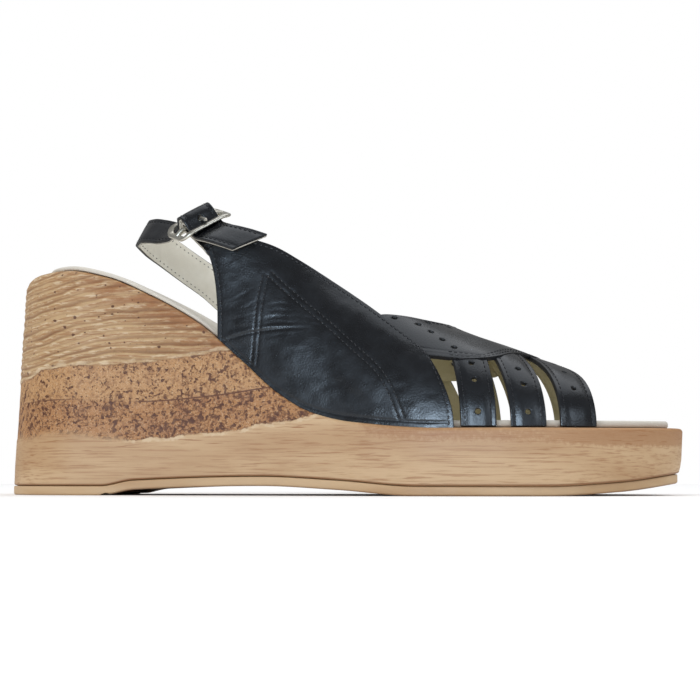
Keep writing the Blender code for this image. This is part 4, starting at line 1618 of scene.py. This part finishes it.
@dataclass
class Quarter(UpperPiece):
    """One quarter: a four-sided patch in side view, with its seams and creases."""

    side: Side
    rear: OpenLine
    top: Line
    columns: int = 210
    rows: int = 132
    foot_sink: float = 0.45
    sag_depth: float = 0.26
    ripple_depth: float = 0.05
    foot_trench: float = 0.16
    front: OpenLine = (
        (160.5, None), (160, 27.4), (158.4, 33), (155.5, 39.6), (151.5, 46.4))
    seams: tuple[Line, ...] = (
        ((96, 76), (94.2, 66), (93.2, 54), (92.2, 43.2)),
        ((96, 76), (106, 67), (118, 57), (127, 49), (136, 40.5), (140.8, 32),
         (143.6, 24.6)))
    creases: tuple[Crease, ...] = (
        Crease(((80.5, 52), (86, 53.8), (93, 55.2), (101, 56), (112, 56.2)), 0.17, 0.5, 0.1),
        Crease(((83, 56.2), (88, 57), (94, 57.2))),
        Crease(((82, 59.4), (88, 60.2), (94, 61.8))),
        Crease(((95, 57.6), (100, 58.2), (107, 57.8))),
        Crease(((95.5, 59.4), (100, 60.2), (105, 60))),
        Crease(((96, 61.6), (100, 62.4), (106, 61.8))),
        Crease(((86, 62.6), (90, 64), (94, 66.4))),
        Crease(((97, 64.2), (101, 64.8), (105, 64))),
        Crease(((96, 53.2), (102, 54), (110, 54.4))),
        Crease(((106, 60.4), (112, 59.4), (118, 57.8))),
        Crease(((108, 57.6), (114, 57), (121, 55.4))),
        Crease(((82, 65.4), (87, 67.4), (92, 70.4))),
        Crease(((117, 40), (126, 33.5), (134, 28)), 0.16, 2.4, 0.1),
        Crease(((124, 58), (133, 52), (142, 44)), 0.14, 2.6, 0.1),
    )

    def __post_init__(self) -> None:
        """Set out the four edges."""
        self.rear_line = Path(self.grounded(self.rear))
        self.front_line = Path(self.grounded(self.front))
        self.top_line = Path(self.top)
        self.sag = Drift(31 + self.side.value, 15.0, 12.0)
        self.ripple = Drift(41 + self.side.value, 3.4, 2.2)

    def sheet(self) -> LeatherSheet:
        """The quarter before it is sewn."""
        outward = (0.0, float(self.side.value), 0.1)
        return LeatherSheet(self.name, self.columns, self.rows, self.surface, outward, self.sizes.thick)

    def grounded(self, rows: Sequence[tuple[float, float | None]]) -> list[tuple[float, float]]:
        """Rows with the missing height set on the unit's edge."""
        return [(x, float(self.form.feather(x)) - self.foot_sink if z is None else z) for x, z in rows]

    def foot(self, s: Array) -> Array:
        """Points of the patch's lower edge on the unit, seen from the side."""
        x = (1.0 - s) * self.rear_line.points[0][0] + s * self.front_line.points[0][0]
        return np.stack((x, self.form.feather(x)), axis=-1)

    def flat(self, s: Array, t: Array) -> Pair:
        """Side view of the patch, filled in between its four edges.

        Args:
            s: Share from rear to front.
            t: Share from sole to top.

        Returns:
            Distances from the heel and heights.
        """
        low = self.foot(s) - (0.0, self.foot_sink)
        rear, front, top = self.rear_line(t), self.front_line(t), self.top_line(s)
        ends = (self.rear_line.points[0], self.front_line.points[0], self.top[0], self.top[-1])
        low_rear, low_front, top_rear, top_front = (np.array(p) for p in ends)
        s, t = s[..., None], t[..., None]
        p = (1 - t) * low + t * top + (1 - s) * rear + s * front
        p = p - (1 - s) * (1 - t) * low_rear - s * (1 - t) * low_front
        p = p - (1 - s) * t * top_rear - s * t * top_front
        return p[..., 0], np.maximum(p[..., 1], self.form.feather(p[..., 0]) - self.foot_sink)

    def edge_gaps(self, s: Array, t: Array) -> tuple[Array, Array, Array]:
        """Distances from the rear, the front and the top edge."""
        across = np.linalg.norm(self.front_line(t) - self.rear_line(t), axis=-1)
        tall = np.linalg.norm(self.top_line(s) - self.foot(s), axis=-1)
        return s * across, (1.0 - s) * across, (1.0 - t) * tall

    def folds(self, x: Array, z: Array) -> Array:
        """Soft sag and creases of the leather seen from the side, in millimetres."""
        return self.sag_depth * self.sag(x, z) + sum(crease.relief(x, z) for crease in self.creases)

    def relief(self, s: Array, t: Array, x: Array, z: Array) -> Array:
        """Relief of the leather with its sunk seams.

        Args:
            s: Share from rear to front.
            t: Share from sole to top.
            x: Distances from the heel there.
            z: Heights there.

        Returns:
            How far it stands out or in, in millimetres.
        """
        size = self.sizes
        out = self.folds(x, z) + self.ripple_depth * self.ripple(x, z)
        rear, front, top = self.edge_gaps(s, t)
        for gap in (rear, front, top):
            out = out - size.trench * bell(gap - size.edge_row, size.trench_width)
        for seam in self.seams:
            gap, share = reach(seam, x, z)
            inside = ease(share, 0.0, 0.02) * (1.0 - ease(share, 0.99, 1.0))
            for row in (-0.5, 0.5):
                out = out - inside * size.trench * bell(gap - row * size.row_gap, size.trench_width)
        out = out - self.foot_trench * bell(z - self.form.feather(x) - 1.5, 0.5)
        calm = ease(np.minimum(rear, np.minimum(front, top)), 0.0, 5.0)
        return out * (0.25 + 0.75 * calm)

    def surface(self, s: Array, t: Array) -> Array:
        """Outer face of the quarter."""
        x, z = self.flat(s, t)
        return self.form.wall(x, z, self.side.value, self.sizes.quarter_lift + self.relief(s, t, x, z))

    def normals(self, x: Array, z: Array) -> Array:
        """Outward directions in side view."""
        return self.form.wall_normal(x, z, self.side.value)

    def stitch_lines(self) -> list[Pair]:
        """Rows of stitches along the quarter's edges and its two double seams."""
        share = np.linspace(0.02, 0.98, 160)
        inset = self.sizes.edge_row
        middle = np.full_like(share, 0.5)
        rear, front, _ = self.edge_gaps(middle, share)
        across = rear + front
        tall = 2.0 * self.edge_gaps(share, middle)[2]
        lines = []
        for s, t in ((inset / across, share), (1.0 - inset / across, share), (share, 1.0 - inset / tall)):
            x, z = self.flat(s, t)
            lines.append((self.surface(s, t), self.normals(x, z)))
        for seam in self.seams:
            for row in (-0.5, 0.5):
                way = Path(seam)(np.linspace(0.015, 0.985, 200))
                along = unit(np.gradient(way, axis=0))
                x = way[:, 0] - along[:, 1] * row * self.sizes.row_gap
                z = way[:, 1] + along[:, 0] * row * self.sizes.row_gap
                keep = z > self.form.feather(x) + 1.0
                x, z = x[keep], z[keep]
                lift = self.sizes.quarter_lift - self.sizes.trench + self.folds(x, z)
                lines.append((self.form.wall(x, z, self.side.value, lift), self.normals(x, z)))
        return lines


@dataclass
class VampPanel(UpperPiece):
    """Panel over the roots of the toes, with its two wings beside the throat."""

    thread: ClassVar[Thread] = Thread(1.8, 1.3, 0.19)
    columns: int = 210
    rows: int = 60
    first_angle: float = 33.0
    girth: float = 104.0
    sag_depth: float = 0.25
    # angle, back edge x, front edge x
    edges: Table = curve(
        (33, 137, 163), (34.5, 136.4, 168), (37, 135.3, 172.2), (41, 133.6, 175.6),
        (47, 131.5, 178.2), (52, 135, 180), (56, 142.5, 181.5), (60, 149, 183),
        (66, 154, 184.9), (72, 156.4, 186.4), (90, 157.6, 188))
    hole_angles: tuple[float, ...] = (40.0, 46.0, 52.0, 58.0, 64.0, 70.0, 76.0, 83.0, 90.0)
    border_holes: Line = ((40.0, 160.0), (44.5, 156.0), (49.0, 152.0), (52.5, 147.6))
    throat_margin: float = 4.6

    def __post_init__(self) -> None:
        """Set out the soft sag of the panel."""
        self.sag = Drift(51, 14.0, 12.0)

    def spans(self, angle: Array) -> Pair:
        """Back and front edges at angles round the foot."""
        turned = np.where(angle <= 90.0, angle, 180.0 - angle)
        return self.edges(turned, 0), self.edges(turned, 1)

    def angle(self, s: Array) -> Array:
        """Angle round the foot at shares from the outer wing to the inner."""
        return self.first_angle + s * (180.0 - 2.0 * self.first_angle)

    def surface(self, s: Array, t: Array) -> Array:
        """Outer face of the panel."""
        size = self.sizes
        angle = self.angle(s)
        back, front = self.spans(angle)
        x = back + t * (front - back)
        ahead, behind = front - x, x - back
        low = np.minimum(s, 1.0 - s) * self.girth
        out = self.sag_depth * self.sag(x, angle)
        for gap in (ahead, ahead - size.row_gap, behind, low, low - size.row_gap):
            out = out - size.trench * bell(gap - size.edge_row, size.trench_width)
        calm = ease(np.minimum(np.minimum(ahead, behind), low), 0.0, 4.0)
        return self.form.round(x, angle, size.vamp_lift + out * (0.3 + 0.7 * calm))

    def sheet(self) -> LeatherSheet:
        """The panel before it is punched and sewn."""
        outward = (0.0, -0.7, 0.7)
        return LeatherSheet(self.name, self.columns, self.rows, self.surface, outward, self.sizes.thick)

    def on_panel(self, x: Array, angle: Array) -> Pair:
        """Points and outward directions on the panel's face."""
        return self.form.round_pair(x, angle, self.sizes.vamp_lift - self.sizes.trench)

    def holes(self) -> Pair:
        """Centres and directions of the punched holes."""
        spots = [(float(self.spans(np.array(a))[0]) + self.throat_margin, a) for a in self.hole_angles]
        spots += [(x, a) for a, x in self.border_holes]
        spots += [(x, 180.0 - a) for x, a in spots if a < 90.0]
        return self.on_panel(*np.array(spots).T)

    def stitch_lines(self) -> list[Pair]:
        """Rows of stitches along the panel's edges and over its wings."""
        size = self.sizes
        angle = np.linspace(self.first_angle + 2.0, 178.0 - self.first_angle, 240)
        back, front = self.spans(angle)
        rows = (front - size.edge_row, front - size.edge_row - size.row_gap, back + size.edge_row)
        lines = [self.on_panel(x, angle) for x in rows]
        for first in (self.first_angle + 1.7, self.first_angle + 3.8):
            for turn in (first, 180.0 - first):
                low, high = self.spans(np.array(turn))
                x = np.linspace(float(low) + 22.0, float(high) - 3.0, 60)
                lines.append(self.on_panel(x, np.full_like(x, turn)))
        return lines


@dataclass
class FootStrap(UpperPiece):
    """Strap or tab round the foot between two angles."""

    thread: ClassVar[Thread] = Thread(1.9, 1.4, 0.19)
    outer_x: float
    crest_x: float
    inner_x: float
    width: float
    first: float
    last: float
    hole_angles: tuple[float, ...]
    columns: int = 26

    def centre(self, angle: Array) -> Array:
        """Middle line of the strap at angles round the foot."""
        c = np.cos(np.radians(angle))
        mean = 0.5 * (self.outer_x + self.inner_x)
        return self.crest_x + 0.5 * (self.outer_x - self.inner_x) * c + (mean - self.crest_x) * c * c

    def surface(self, s: Array, t: Array) -> Array:
        """Outer face of the strap."""
        size = self.sizes
        angle = self.first + t * (self.last - self.first)
        across = (s - 0.5) * self.width
        gap = 0.5 * self.width - np.abs(across)
        out = 0.3 * ease(gap, 1.4, 4.0) - size.trench * bell(gap - size.edge_row, size.trench_width)
        return self.form.round(self.centre(angle) + across, angle, size.strap_lift + out)

    def sheet(self) -> LeatherSheet:
        """The strap before it is punched and sewn."""
        rows = max(20, int(abs(self.last - self.first) * 1.5))
        outward = (0.0, -math.cos(math.radians(self.first)), 0.3)
        if self.first + self.last > 200.0:
            outward = (0.0, 0.6, 0.5)
        return LeatherSheet(self.name, self.columns, rows, self.surface, outward, self.sizes.thick, 0.5)

    def holes(self) -> Pair:
        """Centres and directions of the punched holes."""
        turns = np.array(self.hole_angles)
        return self.form.round_pair(self.centre(turns), turns, self.sizes.strap_lift)

    def stitch_lines(self) -> list[Pair]:
        """Rows of stitches along the strap's two edges."""
        turns = np.linspace(self.first, self.last, 160)
        shift = 0.5 * self.width - self.sizes.edge_row
        lift = self.sizes.strap_lift - 0.5 * self.sizes.trench
        return [self.form.round_pair(self.centre(turns) + sign * shift, turns, lift) for sign in (-1.0, 1.0)]


# Heel strap and buckle


@dataclass
class BuckleFrame:
    """Place and sizes of the buckle."""

    centre: Spot = (70.5, -20.0, 94.8)
    run_hint: Spot = (0.61, -0.74, -0.30)
    cross_hint: Spot = (0.745, 0.445, 0.500)
    half_run: float = 6.8
    half_cross: float = 9.4
    corner: float = 3.0
    wire: float = 1.9
    end_droop: float = 1.5
    droop_start: float = 5.8
    prong_wire: float = 1.5
    prong_reach: float = 1.6
    sleeve_span: tuple[float, float] = (0.8, 7.0)
    gap: float = 0.3

    def __post_init__(self) -> None:
        """Square the three directions up."""
        self.cross = unit(np.array(self.cross_hint))
        run = np.array(self.run_hint)
        self.run = unit(run - self.cross * run.dot(self.cross))
        self.up = np.cross(self.run, self.cross)
        self.prong_turn = 0.5 * self.wire + self.gap + 0.5 * self.prong_wire

    def at(self, along: Array | float, side: Array | float, above: Array | float) -> Array:
        """Points given along, across and above the frame."""
        along, side, above = (np.asarray(v, dtype=float)[..., None] for v in (along, side, above))
        return np.array(self.centre) + along * self.run + side * self.cross + above * self.up

    def block(self, low: Spot, high: Spot) -> Grid:
        """Box between two corners in the frame's own directions."""
        bm = bmesh.new()
        bmesh.ops.create_cube(bm, size=1.0)
        for vertex in bm.verts:
            part = [(c + 0.5) * (h - l) + l for c, l, h in zip(vertex.co, low, high)]
            vertex.co = place(self.at(*part))
        bmesh.ops.recalc_face_normals(bm, faces=bm.faces)
        return bm

    def sleeve(self) -> Grid:
        """Round room for the prong where it passes through the strap."""
        bm = bmesh.new()
        start, end = self.sleeve_span
        middle = self.at(0.5 * (start + end), 0.0, self.prong_turn)
        add_peg(bm, middle, self.run, 0.72 * self.prong_wire, end - start, 20)
        return bm

    @staticmethod
    def rod(path: Wire, steps: int, section: Wire, closed: bool, square: float = 1.0) -> Grid:
        """Wire along a path.

        Args:
            path: Points and side directions of the wire at shares of its length.
            steps: Faces along it.
            section: Half width and half height of the wire at shares of its length.
            closed: Whether its ends meet.
            square: Power of its section, 1 for round and less for squarer.

        Returns:
            The wire's mesh, in metres.
        """
        def surface(s: Array, t: Array) -> Array:
            """Points at shares along the wire and round it."""
            points, side = path(s)
            wide, tall = section(s)
            before, after = s - 1e-3, s + 1e-3
            if not closed:
                before, after = np.maximum(before, 0.0), np.minimum(after, 1.0)
            up = unit(np.cross(path(after)[0] - path(before)[0], side))
            turn = 2.0 * np.pi * t
            c, h = np.cos(turn), np.sin(turn)
            c, h = np.sign(c) * np.abs(c) ** square, np.sign(h) * np.abs(h) ** square
            return points + side * (wide * c)[:, None] + up * (tall * h)[:, None]

        bm = lay_grid(steps, 20, surface)
        bmesh.ops.remove_doubles(bm, verts=bm.verts, dist=0.002 * MM)
        if not closed:
            bmesh.ops.holes_fill(bm, edges=bm.edges, sides=0)
        bmesh.ops.recalc_face_normals(bm, faces=bm.faces)
        return bm

    def outline(self, s: Array) -> Pair:
        """Rounded outline of the frame and the directions away from its middle."""
        flat_run, flat_cross = self.half_run - self.corner, self.half_cross - self.corner
        arc = 0.5 * math.pi * self.corner
        marks = np.cumsum([0.0] + 2 * [2.0 * flat_cross, arc, 2.0 * flat_run, arc])
        d = (s % 1.0) * marks[-1]
        leg = np.clip(np.searchsorted(marks, d, side="right") - 1, 0, 7)
        part = (d - marks[leg]) / (marks[leg + 1] - marks[leg])
        quarter, bent = leg // 2, leg % 2 == 1
        turn = np.radians(90.0 * quarter + np.where(bent, 90.0 * part, 0.0))
        sign_run = np.array((1.0, -1.0, -1.0, 1.0))[quarter]
        sign_cross = np.array((1.0, 1.0, -1.0, -1.0))[quarter]
        back = np.where(bent, 0.0, 2.0 * (1.0 - part))
        on_run = quarter % 2 == 1
        run = sign_run * flat_run * (1.0 - back * on_run) + self.corner * np.cos(turn)
        cross = sign_cross * flat_cross * (1.0 - back * ~on_run) + self.corner * np.sin(turn)
        away = np.cos(turn)[:, None] * self.run + np.sin(turn)[:, None] * self.cross
        return self.at(run, cross, -self.droop(cross)), away

    def even(self, wide: float, tall: float) -> Wire:
        """Section that stays the same along a wire, as shares of the frame's own wire."""
        half = 0.5 * self.wire
        return lambda s: (np.full_like(s, wide * half), np.full_like(s, tall * half))

    def droop(self, side: Array) -> Array:
        """How far the frame bends down towards its ends."""
        share = np.clip((np.abs(side) - self.droop_start) / (self.half_cross - self.droop_start), 0.0, 1.0)
        return self.end_droop * share * share

    def build(self, finishes: Finishes) -> list[Item]:
        """Make the frame with its middle bar, and the prong."""
        total = self.prong_turn * math.radians(300.0) + self.half_run + self.prong_reach

        def bar(s: Array) -> Pair:
            """Middle bar from end to end."""
            side = (2.0 * s - 1.0) * self.half_cross
            return self.at(0.0 * s, side, -self.droop(side)), np.broadcast_to(self.run, (len(s), 3))

        def bent(s: Array) -> Pair:
            """Prong, first round the bar and then straight on."""
            curl = self.prong_turn * math.radians(300.0)
            turn = np.radians(390.0) - np.minimum(s * total, curl) / self.prong_turn
            along = self.prong_turn * np.cos(turn) + np.maximum(s * total - curl, 0.0)
            points = self.at(along, 0.0 * s, self.prong_turn * np.sin(turn))
            return points, np.broadcast_to(self.cross, (len(s), 3))

        def prong_section(s: Array) -> Pair:
            """Half width and half height of the prong, slim and rounded at its tip."""
            end = 0.5 * self.prong_wire * (0.15 + 0.85 * (1.0 - ease(s, 0.93, 1.0) ** 2))
            return end * (1.15 - 0.3 * ease(s, 0.6, 1.0)), end * 0.85

        bm = self.rod(self.outline, 160, self.even(1.25, 0.66), True, 0.7)
        post = self.rod(bar, 24, self.even(0.9, 0.9), False)
        spare = bpy.data.meshes.new("middle_bar")
        post.to_mesh(spare)
        post.free()
        bm.from_mesh(spare)
        bpy.data.meshes.remove(spare)
        frame = dress_piece(make_piece("buckle_ring", bm, (finishes.metal,)), "buckle_frame")
        prong = make_piece("prong_wire", self.rod(bent, 90, prong_section, False), (finishes.metal,))
        return [frame, dress_piece(prong, "buckle_prong")]


@dataclass
class Ribbon:
    """Strip of leather through centres and width directions."""

    rows: Sequence[Pair]

    def __post_init__(self) -> None:
        """Measure the strip along its middle."""
        self.path = Path([tuple(c) + tuple(unit(np.array(w))) for c, w in self.rows], 3)

    def middle(self, t: Array) -> Pair:
        """Centres and width directions at shares of the length."""
        data = self.path(t)
        return data[..., :3], unit(data[..., 3:])

    def normal(self, t: Array) -> Array:
        """Directions out of the strip's face."""
        before, after = (self.middle(np.clip(t + step, 0.0, 1.0))[0] for step in (-2e-3, 2e-3))
        return unit(np.cross(unit(after - before), self.middle(t)[1]))

    def start(self) -> Spot:
        """Direction out of the strip's face at its start."""
        return tuple(self.normal(np.array([0.0]))[0])


@dataclass
class HeelStrap:
    """Slack strap from the inner quarter round the heel, through the buckle, to its cut tail."""

    form: FootForm
    buckle: BuckleFrame
    width: float = 12.0
    thick: float = 1.5
    leather: float = 1.08
    solid_rows: int = 74
    tail_rows: int = 9
    tail_slant: float = 2.2
    edge_row: float = 1.5
    wall_slope: tuple[float, float] = (3.1, 5.1)
    wall_spots: Line = ((94.0, 59.6), (87.0, 63.8), (80.0, 68.0), (73.0, 72.2))
    # x, y, z, width direction x, y, z
    sling: Rows = (
        (66, 20.6, 78, 0.50, 0.02, 0.86), (58, 18.4, 83.8, 0.44, 0.04, 0.90),
        (50.8, 14.8, 89.2, 0.36, 0.14, 0.92), (46, 9.8, 92.8, 0.28, 0.32, 0.90),
        (44.8, 4.4, 94.4, 0.28, 0.44, 0.84), (47.6, -0.8, 94.6, 0.38, 0.50, 0.78),
        (52.4, -4.8, 93.8, 0.50, 0.50, 0.70), (57.4, -8.2, 92.6, 0.61, 0.48, 0.62),
        (62, -11.2, 92.2, 0.70, 0.45, 0.54))
    # along, above, over the buckle's middle bar
    hump: Rows = (
        (-6.9, -2.3), (-5, -1.1), (-3.5, 0.9), (-2.3, 2.9), (0, 3.9), (2.3, 2.9), (3.5, 0.9), (5, -1.1),
        (6.9, -2.3))
    # as the sling
    tail: Rows = (
        (78.8, -26.7, 89.6, 0.74, 0.46, 0.48), (82.2, -27.8, 88.6, 0.69, 0.49, 0.52),
        (86.4, -28.4, 87.3, 0.62, 0.53, 0.57), (90.6, -28.6, 85.8, 0.56, 0.56, 0.60))

    def ribbon(self) -> Ribbon:
        """The whole strap's middle line."""
        rows = []
        depth = -1.0 - self.form.gap - 0.5 * self.thick - 0.35
        for x, z in self.wall_spots:
            spot, slope = np.array((x, z)), np.array(self.wall_slope)
            high, low = (self.form.wall_point(*(spot + k * slope), 1) for k in (1.0, -1.0))
            rows.append((self.form.wall(x, z, 1, depth), high - low))
        rows += [(np.array(r[:3]), np.array(r[3:])) for r in self.sling]
        rows += [(self.buckle.at(a, 0.0, h), self.buckle.cross) for a, h in self.hump]
        rows += [(np.array(r[:3]), np.array(r[3:])) for r in self.tail]
        return Ribbon(rows)

    def build(self, finishes: Finishes, threads: list[Matrix]) -> Item:
        """Make the strap, cut the prong's hole and sew its edges.

        Args:
            finishes: The materials.
            threads: Where the places of its stitches are gathered.

        Returns:
            The strap's leather.
        """
        ribbon = self.ribbon()
        ends = ribbon.middle(np.array((0.985, 1.0)))[0]
        ahead = unit(ends[1] - ends[0])

        def point(t: Array, across: Array, lift: Array) -> Array:
            """Points at shares of the length, across the strap and above its middle."""
            centre, wide = ribbon.middle(t)
            step = np.clip(((t - 1.0) * (self.solid_rows - 1) + self.tail_rows) / self.tail_rows, 0.0, 1.0)
            slant = ahead * (self.tail_slant * 2.0 * across / self.width * step ** 2)[:, None]
            return centre + wide * across[:, None] + slant + ribbon.normal(t) * lift[:, None]

        def face(s: Array, t: Array) -> Array:
            """Outer face, crowned and sunk along its stitches."""
            across = (s - 0.5) * self.width
            gap = 0.5 * self.width - np.abs(across)
            crown = 0.12 * ease(gap, 1.0, 4.0) - 0.12 * bell(gap - self.edge_row, 0.5)
            return point(t, across, 0.5 * self.thick + crown)

        def back(s: Array, t: Array) -> Array:
            """Face of the lining where it meets the leather."""
            return point(t, (s - 0.5) * (self.width - 0.3), np.full_like(s, 0.5 * self.thick - self.leather))

        sheet = LeatherSheet("heel_strap", 26, 330, face, ribbon.start(), self.leather, 0.3)
        leather = sheet.build(finishes.leather, finishes.edge, finishes.edge)
        pale = self.thick - self.leather
        sheet = LeatherSheet("heel_strap_lining", 12, 330, back, ribbon.start(), pale, 0.15)
        lining = sheet.build(finishes.lining, finishes.lining, finishes.raw)
        for layer in (leather, lining):
            cut(layer, self.buckle.sleeve())
        dress_piece(lining, None)
        share = np.linspace(0.05, 0.985, 500)
        up = ribbon.normal(share)
        for sign in (-1.0, 1.0):
            across = np.full_like(share, sign * (0.5 * self.width - self.edge_row))
            lift = np.full_like(share, 0.5 * self.thick)
            Thread(1.8, 1.2, 0.16).sew(threads, point(share, across, lift), up)
            Thread(1.8, 0.6, 0.15).sew(threads, point(share, across, -lift), -up)
        return dress_piece(leather, "sling_strap")


@dataclass
class Ear:
    """Ear of the outer quarter, folded round the buckle's middle bar."""

    form: FootForm
    buckle: BuckleFrame
    width: float = 11.0
    thick: float = 1.1
    # x, z, height above the foot form
    roots: Rows = ((84.0, 77.5, -0.4), (82.4, 81.0, -0.45), (80.4, 84.4, -0.5))
    root_way: Spot = (0.88, 0.10, 0.46)
    # along and above the buckle's middle bar
    approach: Rows = ((9.0, -6.2), (6.0, -4.7), (3.0, -3.1))
    # degrees round the bar
    hook: tuple[int, ...] = tuple(range(255, 15, -30))

    def build(self, finishes: Finishes) -> Item:
        """Make the ear and cut the prong's slot."""
        rows = [(self.form.wall(x, z, -1, lift), np.array(self.root_way)) for x, z, lift in self.roots]
        rows += [(self.buckle.at(a, 0.0, h), self.buckle.cross) for a, h in self.approach]
        radius = 0.5 * self.buckle.wire + self.buckle.gap + 0.5 * self.thick
        for angle in self.hook:
            turn = math.radians(angle)
            spot = self.buckle.at(radius * math.cos(turn), 0.0, radius * math.sin(turn))
            rows.append((spot, self.buckle.cross))
        ribbon = Ribbon(rows)

        def surface(s: Array, t: Array) -> Array:
            """Outer face of the ear, narrower at its root."""
            centre, wide = ribbon.middle(t)
            across = (s - 0.5) * self.width * (0.62 + 0.38 * ease(t, 0.0, 0.3))
            return centre + wide * across[:, None] + ribbon.normal(t) * 0.5 * self.thick

        sheet = LeatherSheet("quarter_ear", 24, 90, surface, ribbon.start(), self.thick, 0.3)
        item = sheet.build(finishes.leather, finishes.leather, finishes.raw)
        wire = self.buckle.prong_wire
        cut(item, self.buckle.block((-4.0, -wire, -4.0), (3.2, wire, 4.0)))
        return dress_piece(item, "upper")


@dataclass
class Upper:
    """All leather pieces over the foot."""

    form: FootForm
    outer_rear: OpenLine = (
        (79.3, None), (79.2, 62), (78.6, 70), (77.4, 77), (75.6, 82.5), (73.8, 85.6))
    outer_top: Line = (
        (73.8, 85.6), (79, 88.4), (85, 88.6), (91, 87.2), (98, 84.8), (107, 79.6), (118, 72.4),
        (129.5, 64.4), (138, 58), (146, 51.6), (151.5, 46.4))
    inner_rear: OpenLine = (
        (79.3, None), (79.2, 62), (78.6, 69), (77.4, 75), (76.8, 79))
    inner_top: Line = (
        (76.8, 79), (80.5, 82.6), (86, 83.8), (92, 83.2), (98, 81.4), (107, 77), (118, 70.6),
        (129.5, 63.4), (138, 57.6), (146, 51.6), (151.5, 46.4))

    def straps(self) -> list[FootStrap]:
        """The tabs on both sides and the toe strap."""
        made = []
        for name, outer, crest, inner, width, last, holes in (
                ("rear_tab", 168.4, 158.6, 166.8, 11.8, 50.0, (7.0, 22.0, 31.0)),
                ("front_tab", 184.7, 170.8, 182.6, 11.6, 60.0, (7.0, 21.0, 31.0))):
            run = (outer, crest, inner, width)
            far = tuple(180.0 - a for a in holes)
            made.append(FootStrap(self.form, name + "_outer", *run, 0.0, last, holes))
            made.append(FootStrap(self.form, name + "_inner", *run, 180.0 - last, 180.0, far))
        spots = (22.0, 38.0, 54.0, 72.0, 90.0, 108.0, 126.0, 142.0, 158.0)
        made.append(FootStrap(self.form, "toe_strap", 201.0, 188.0, 198.6, 11.8, 0.0, 180.0, spots))
        return made

    def build(self, finishes: Finishes, buckle: BuckleFrame) -> None:
        """Make every piece of the upper and its thread."""
        threads: list[Matrix] = []
        for name, side, rear, top in (
                ("outer_quarter", Side.OUTER, self.outer_rear, self.outer_top),
                ("inner_quarter", Side.INNER, self.inner_rear, self.inner_top)):
            Quarter(self.form, name, side, rear, top).build(finishes, threads)
        VampPanel(self.form, "vamp_panel").build(finishes, threads)
        for strap in self.straps():
            strap.build(finishes, threads)
        Ear(self.form, buckle).build(finishes)
        dress_piece(make_threads("upper_stitching", threads, finishes.thread), None)


# Studio


def hang(item: Item, spot: Spot, aim: Spot) -> None:
    """Put a lamp or the camera in the scene, turned to a point."""
    item.location = spot
    item.rotation_euler = (Vector(aim) - Vector(spot)).to_track_quat('-Z', 'Y').to_euler()
    bpy.context.scene.collection.objects.link(item)


@dataclass(frozen=True)
class Lamp:
    """Soft flat light, which may light surfaces without sheen or give sheen alone."""

    name: str
    spot: Spot
    aim: Spot
    size: tuple[float, float]
    power: float
    colour: Spot = (1.0, 1.0, 1.0)
    diffuse: bool = True
    sheen: bool = True

    def build(self) -> None:
        """Hang the light."""
        data = bpy.data.lights.new(self.name, 'AREA')
        data.shape = 'RECTANGLE'
        data.size, data.size_y = self.size
        data.energy = self.power
        data.color = self.colour
        item = bpy.data.objects.new(self.name, data)
        item.visible_diffuse = self.diffuse
        item.visible_glossy = self.sheen
        hang(item, self.spot, self.aim)


@dataclass
class Studio:
    """Pale floor, soft light and the camera."""

    picture: int = 700
    focal: float = 1600.0
    sensor: float = 36.0
    spot: Spot = (0.0785, -0.5590, 0.0060)
    aim: Spot = (0.0030, 0.0, 0.0510)
    floor_size: float = 1.8
    sky: float = 0.7
    shine: float = 0.3
    backdrop: float = 1.0
    lamps: tuple[Lamp, ...] = (
        Lamp("key", (-0.7, -1.3, 1.4), (0.0, 0.0, 0.04), (1.0, 1.0), 10.2, (1.0, 0.98, 0.95), sheen=False),
        Lamp("top", (0.3, 0.4, 2.2), (0.0, 0.0, 0.0), (2.2, 2.2), 21.0, (0.95, 0.97, 1.0)),
        Lamp("front", (-0.08, -0.96, 0.07), (0.03, 0.0, 0.03), (0.3, 0.13), 5.2, (0.7, 0.85, 1.0),
             diffuse=False),
        Lamp("side", (0.6, -0.72, 0.26), (0.07, 0.0, 0.03), (0.3, 0.3), 1.2, (0.8, 0.9, 1.0), diffuse=False),
    )

    def build(self, finishes: Finishes) -> None:
        """Set up the floor, the light and the camera."""
        bm = bmesh.new()
        bmesh.ops.create_grid(bm, x_segments=4, y_segments=4, size=0.5 * self.floor_size)
        make_piece("floor", bm, (finishes.floor,))
        for lamp in self.lamps:
            lamp.build()
        world = bpy.data.worlds.new("studio")
        world.use_nodes = True
        graph = Graph(world.node_tree)
        rays = graph.node("LightPath").outputs
        light = world.node_tree.nodes["Background"].inputs
        light["Color"].default_value = (1.0, 1.0, 1.0, 1.0)
        lit = graph.step(rays["Is Glossy Ray"], 0.0, 1.0, self.sky, self.shine)
        graph.feed(light["Strength"], graph.step(rays["Is Camera Ray"], 0.0, 1.0, lit, self.backdrop))
        bpy.context.scene.world = world
        bpy.context.scene.view_settings.view_transform = 'Standard'
        data = bpy.data.cameras.new("camera")
        data.sensor_width = self.sensor
        data.lens = self.focal / self.picture * self.sensor
        data.clip_start = 0.01
        camera = bpy.data.objects.new("camera", data)
        hang(camera, self.spot, self.aim)
        bpy.context.scene.camera = camera


def main() -> None:
    """Load the frame, dress the sandal and set up the studio."""
    logging.basicConfig(level=logging.INFO, format="%(name)s: %(message)s")
    for old in list(bpy.data.objects):
        bpy.data.objects.remove(old)
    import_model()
    form = FootForm()
    finishes = Finishes(Effects())
    Studio().build(finishes)
    WedgeUnit(form).build(finishes)
    TreadLayer(form).build(finishes)
    Insole(form).build(finishes)
    buckle = BuckleFrame()
    Upper(form).build(finishes, buckle)
    threads: list[Matrix] = []
    HeelStrap(form, buckle).build(finishes, threads)
    dress_piece(make_threads("strap_stitching", threads, finishes.thread), None)
    buckle.build(finishes)


if __name__ == "__main__":
    main()
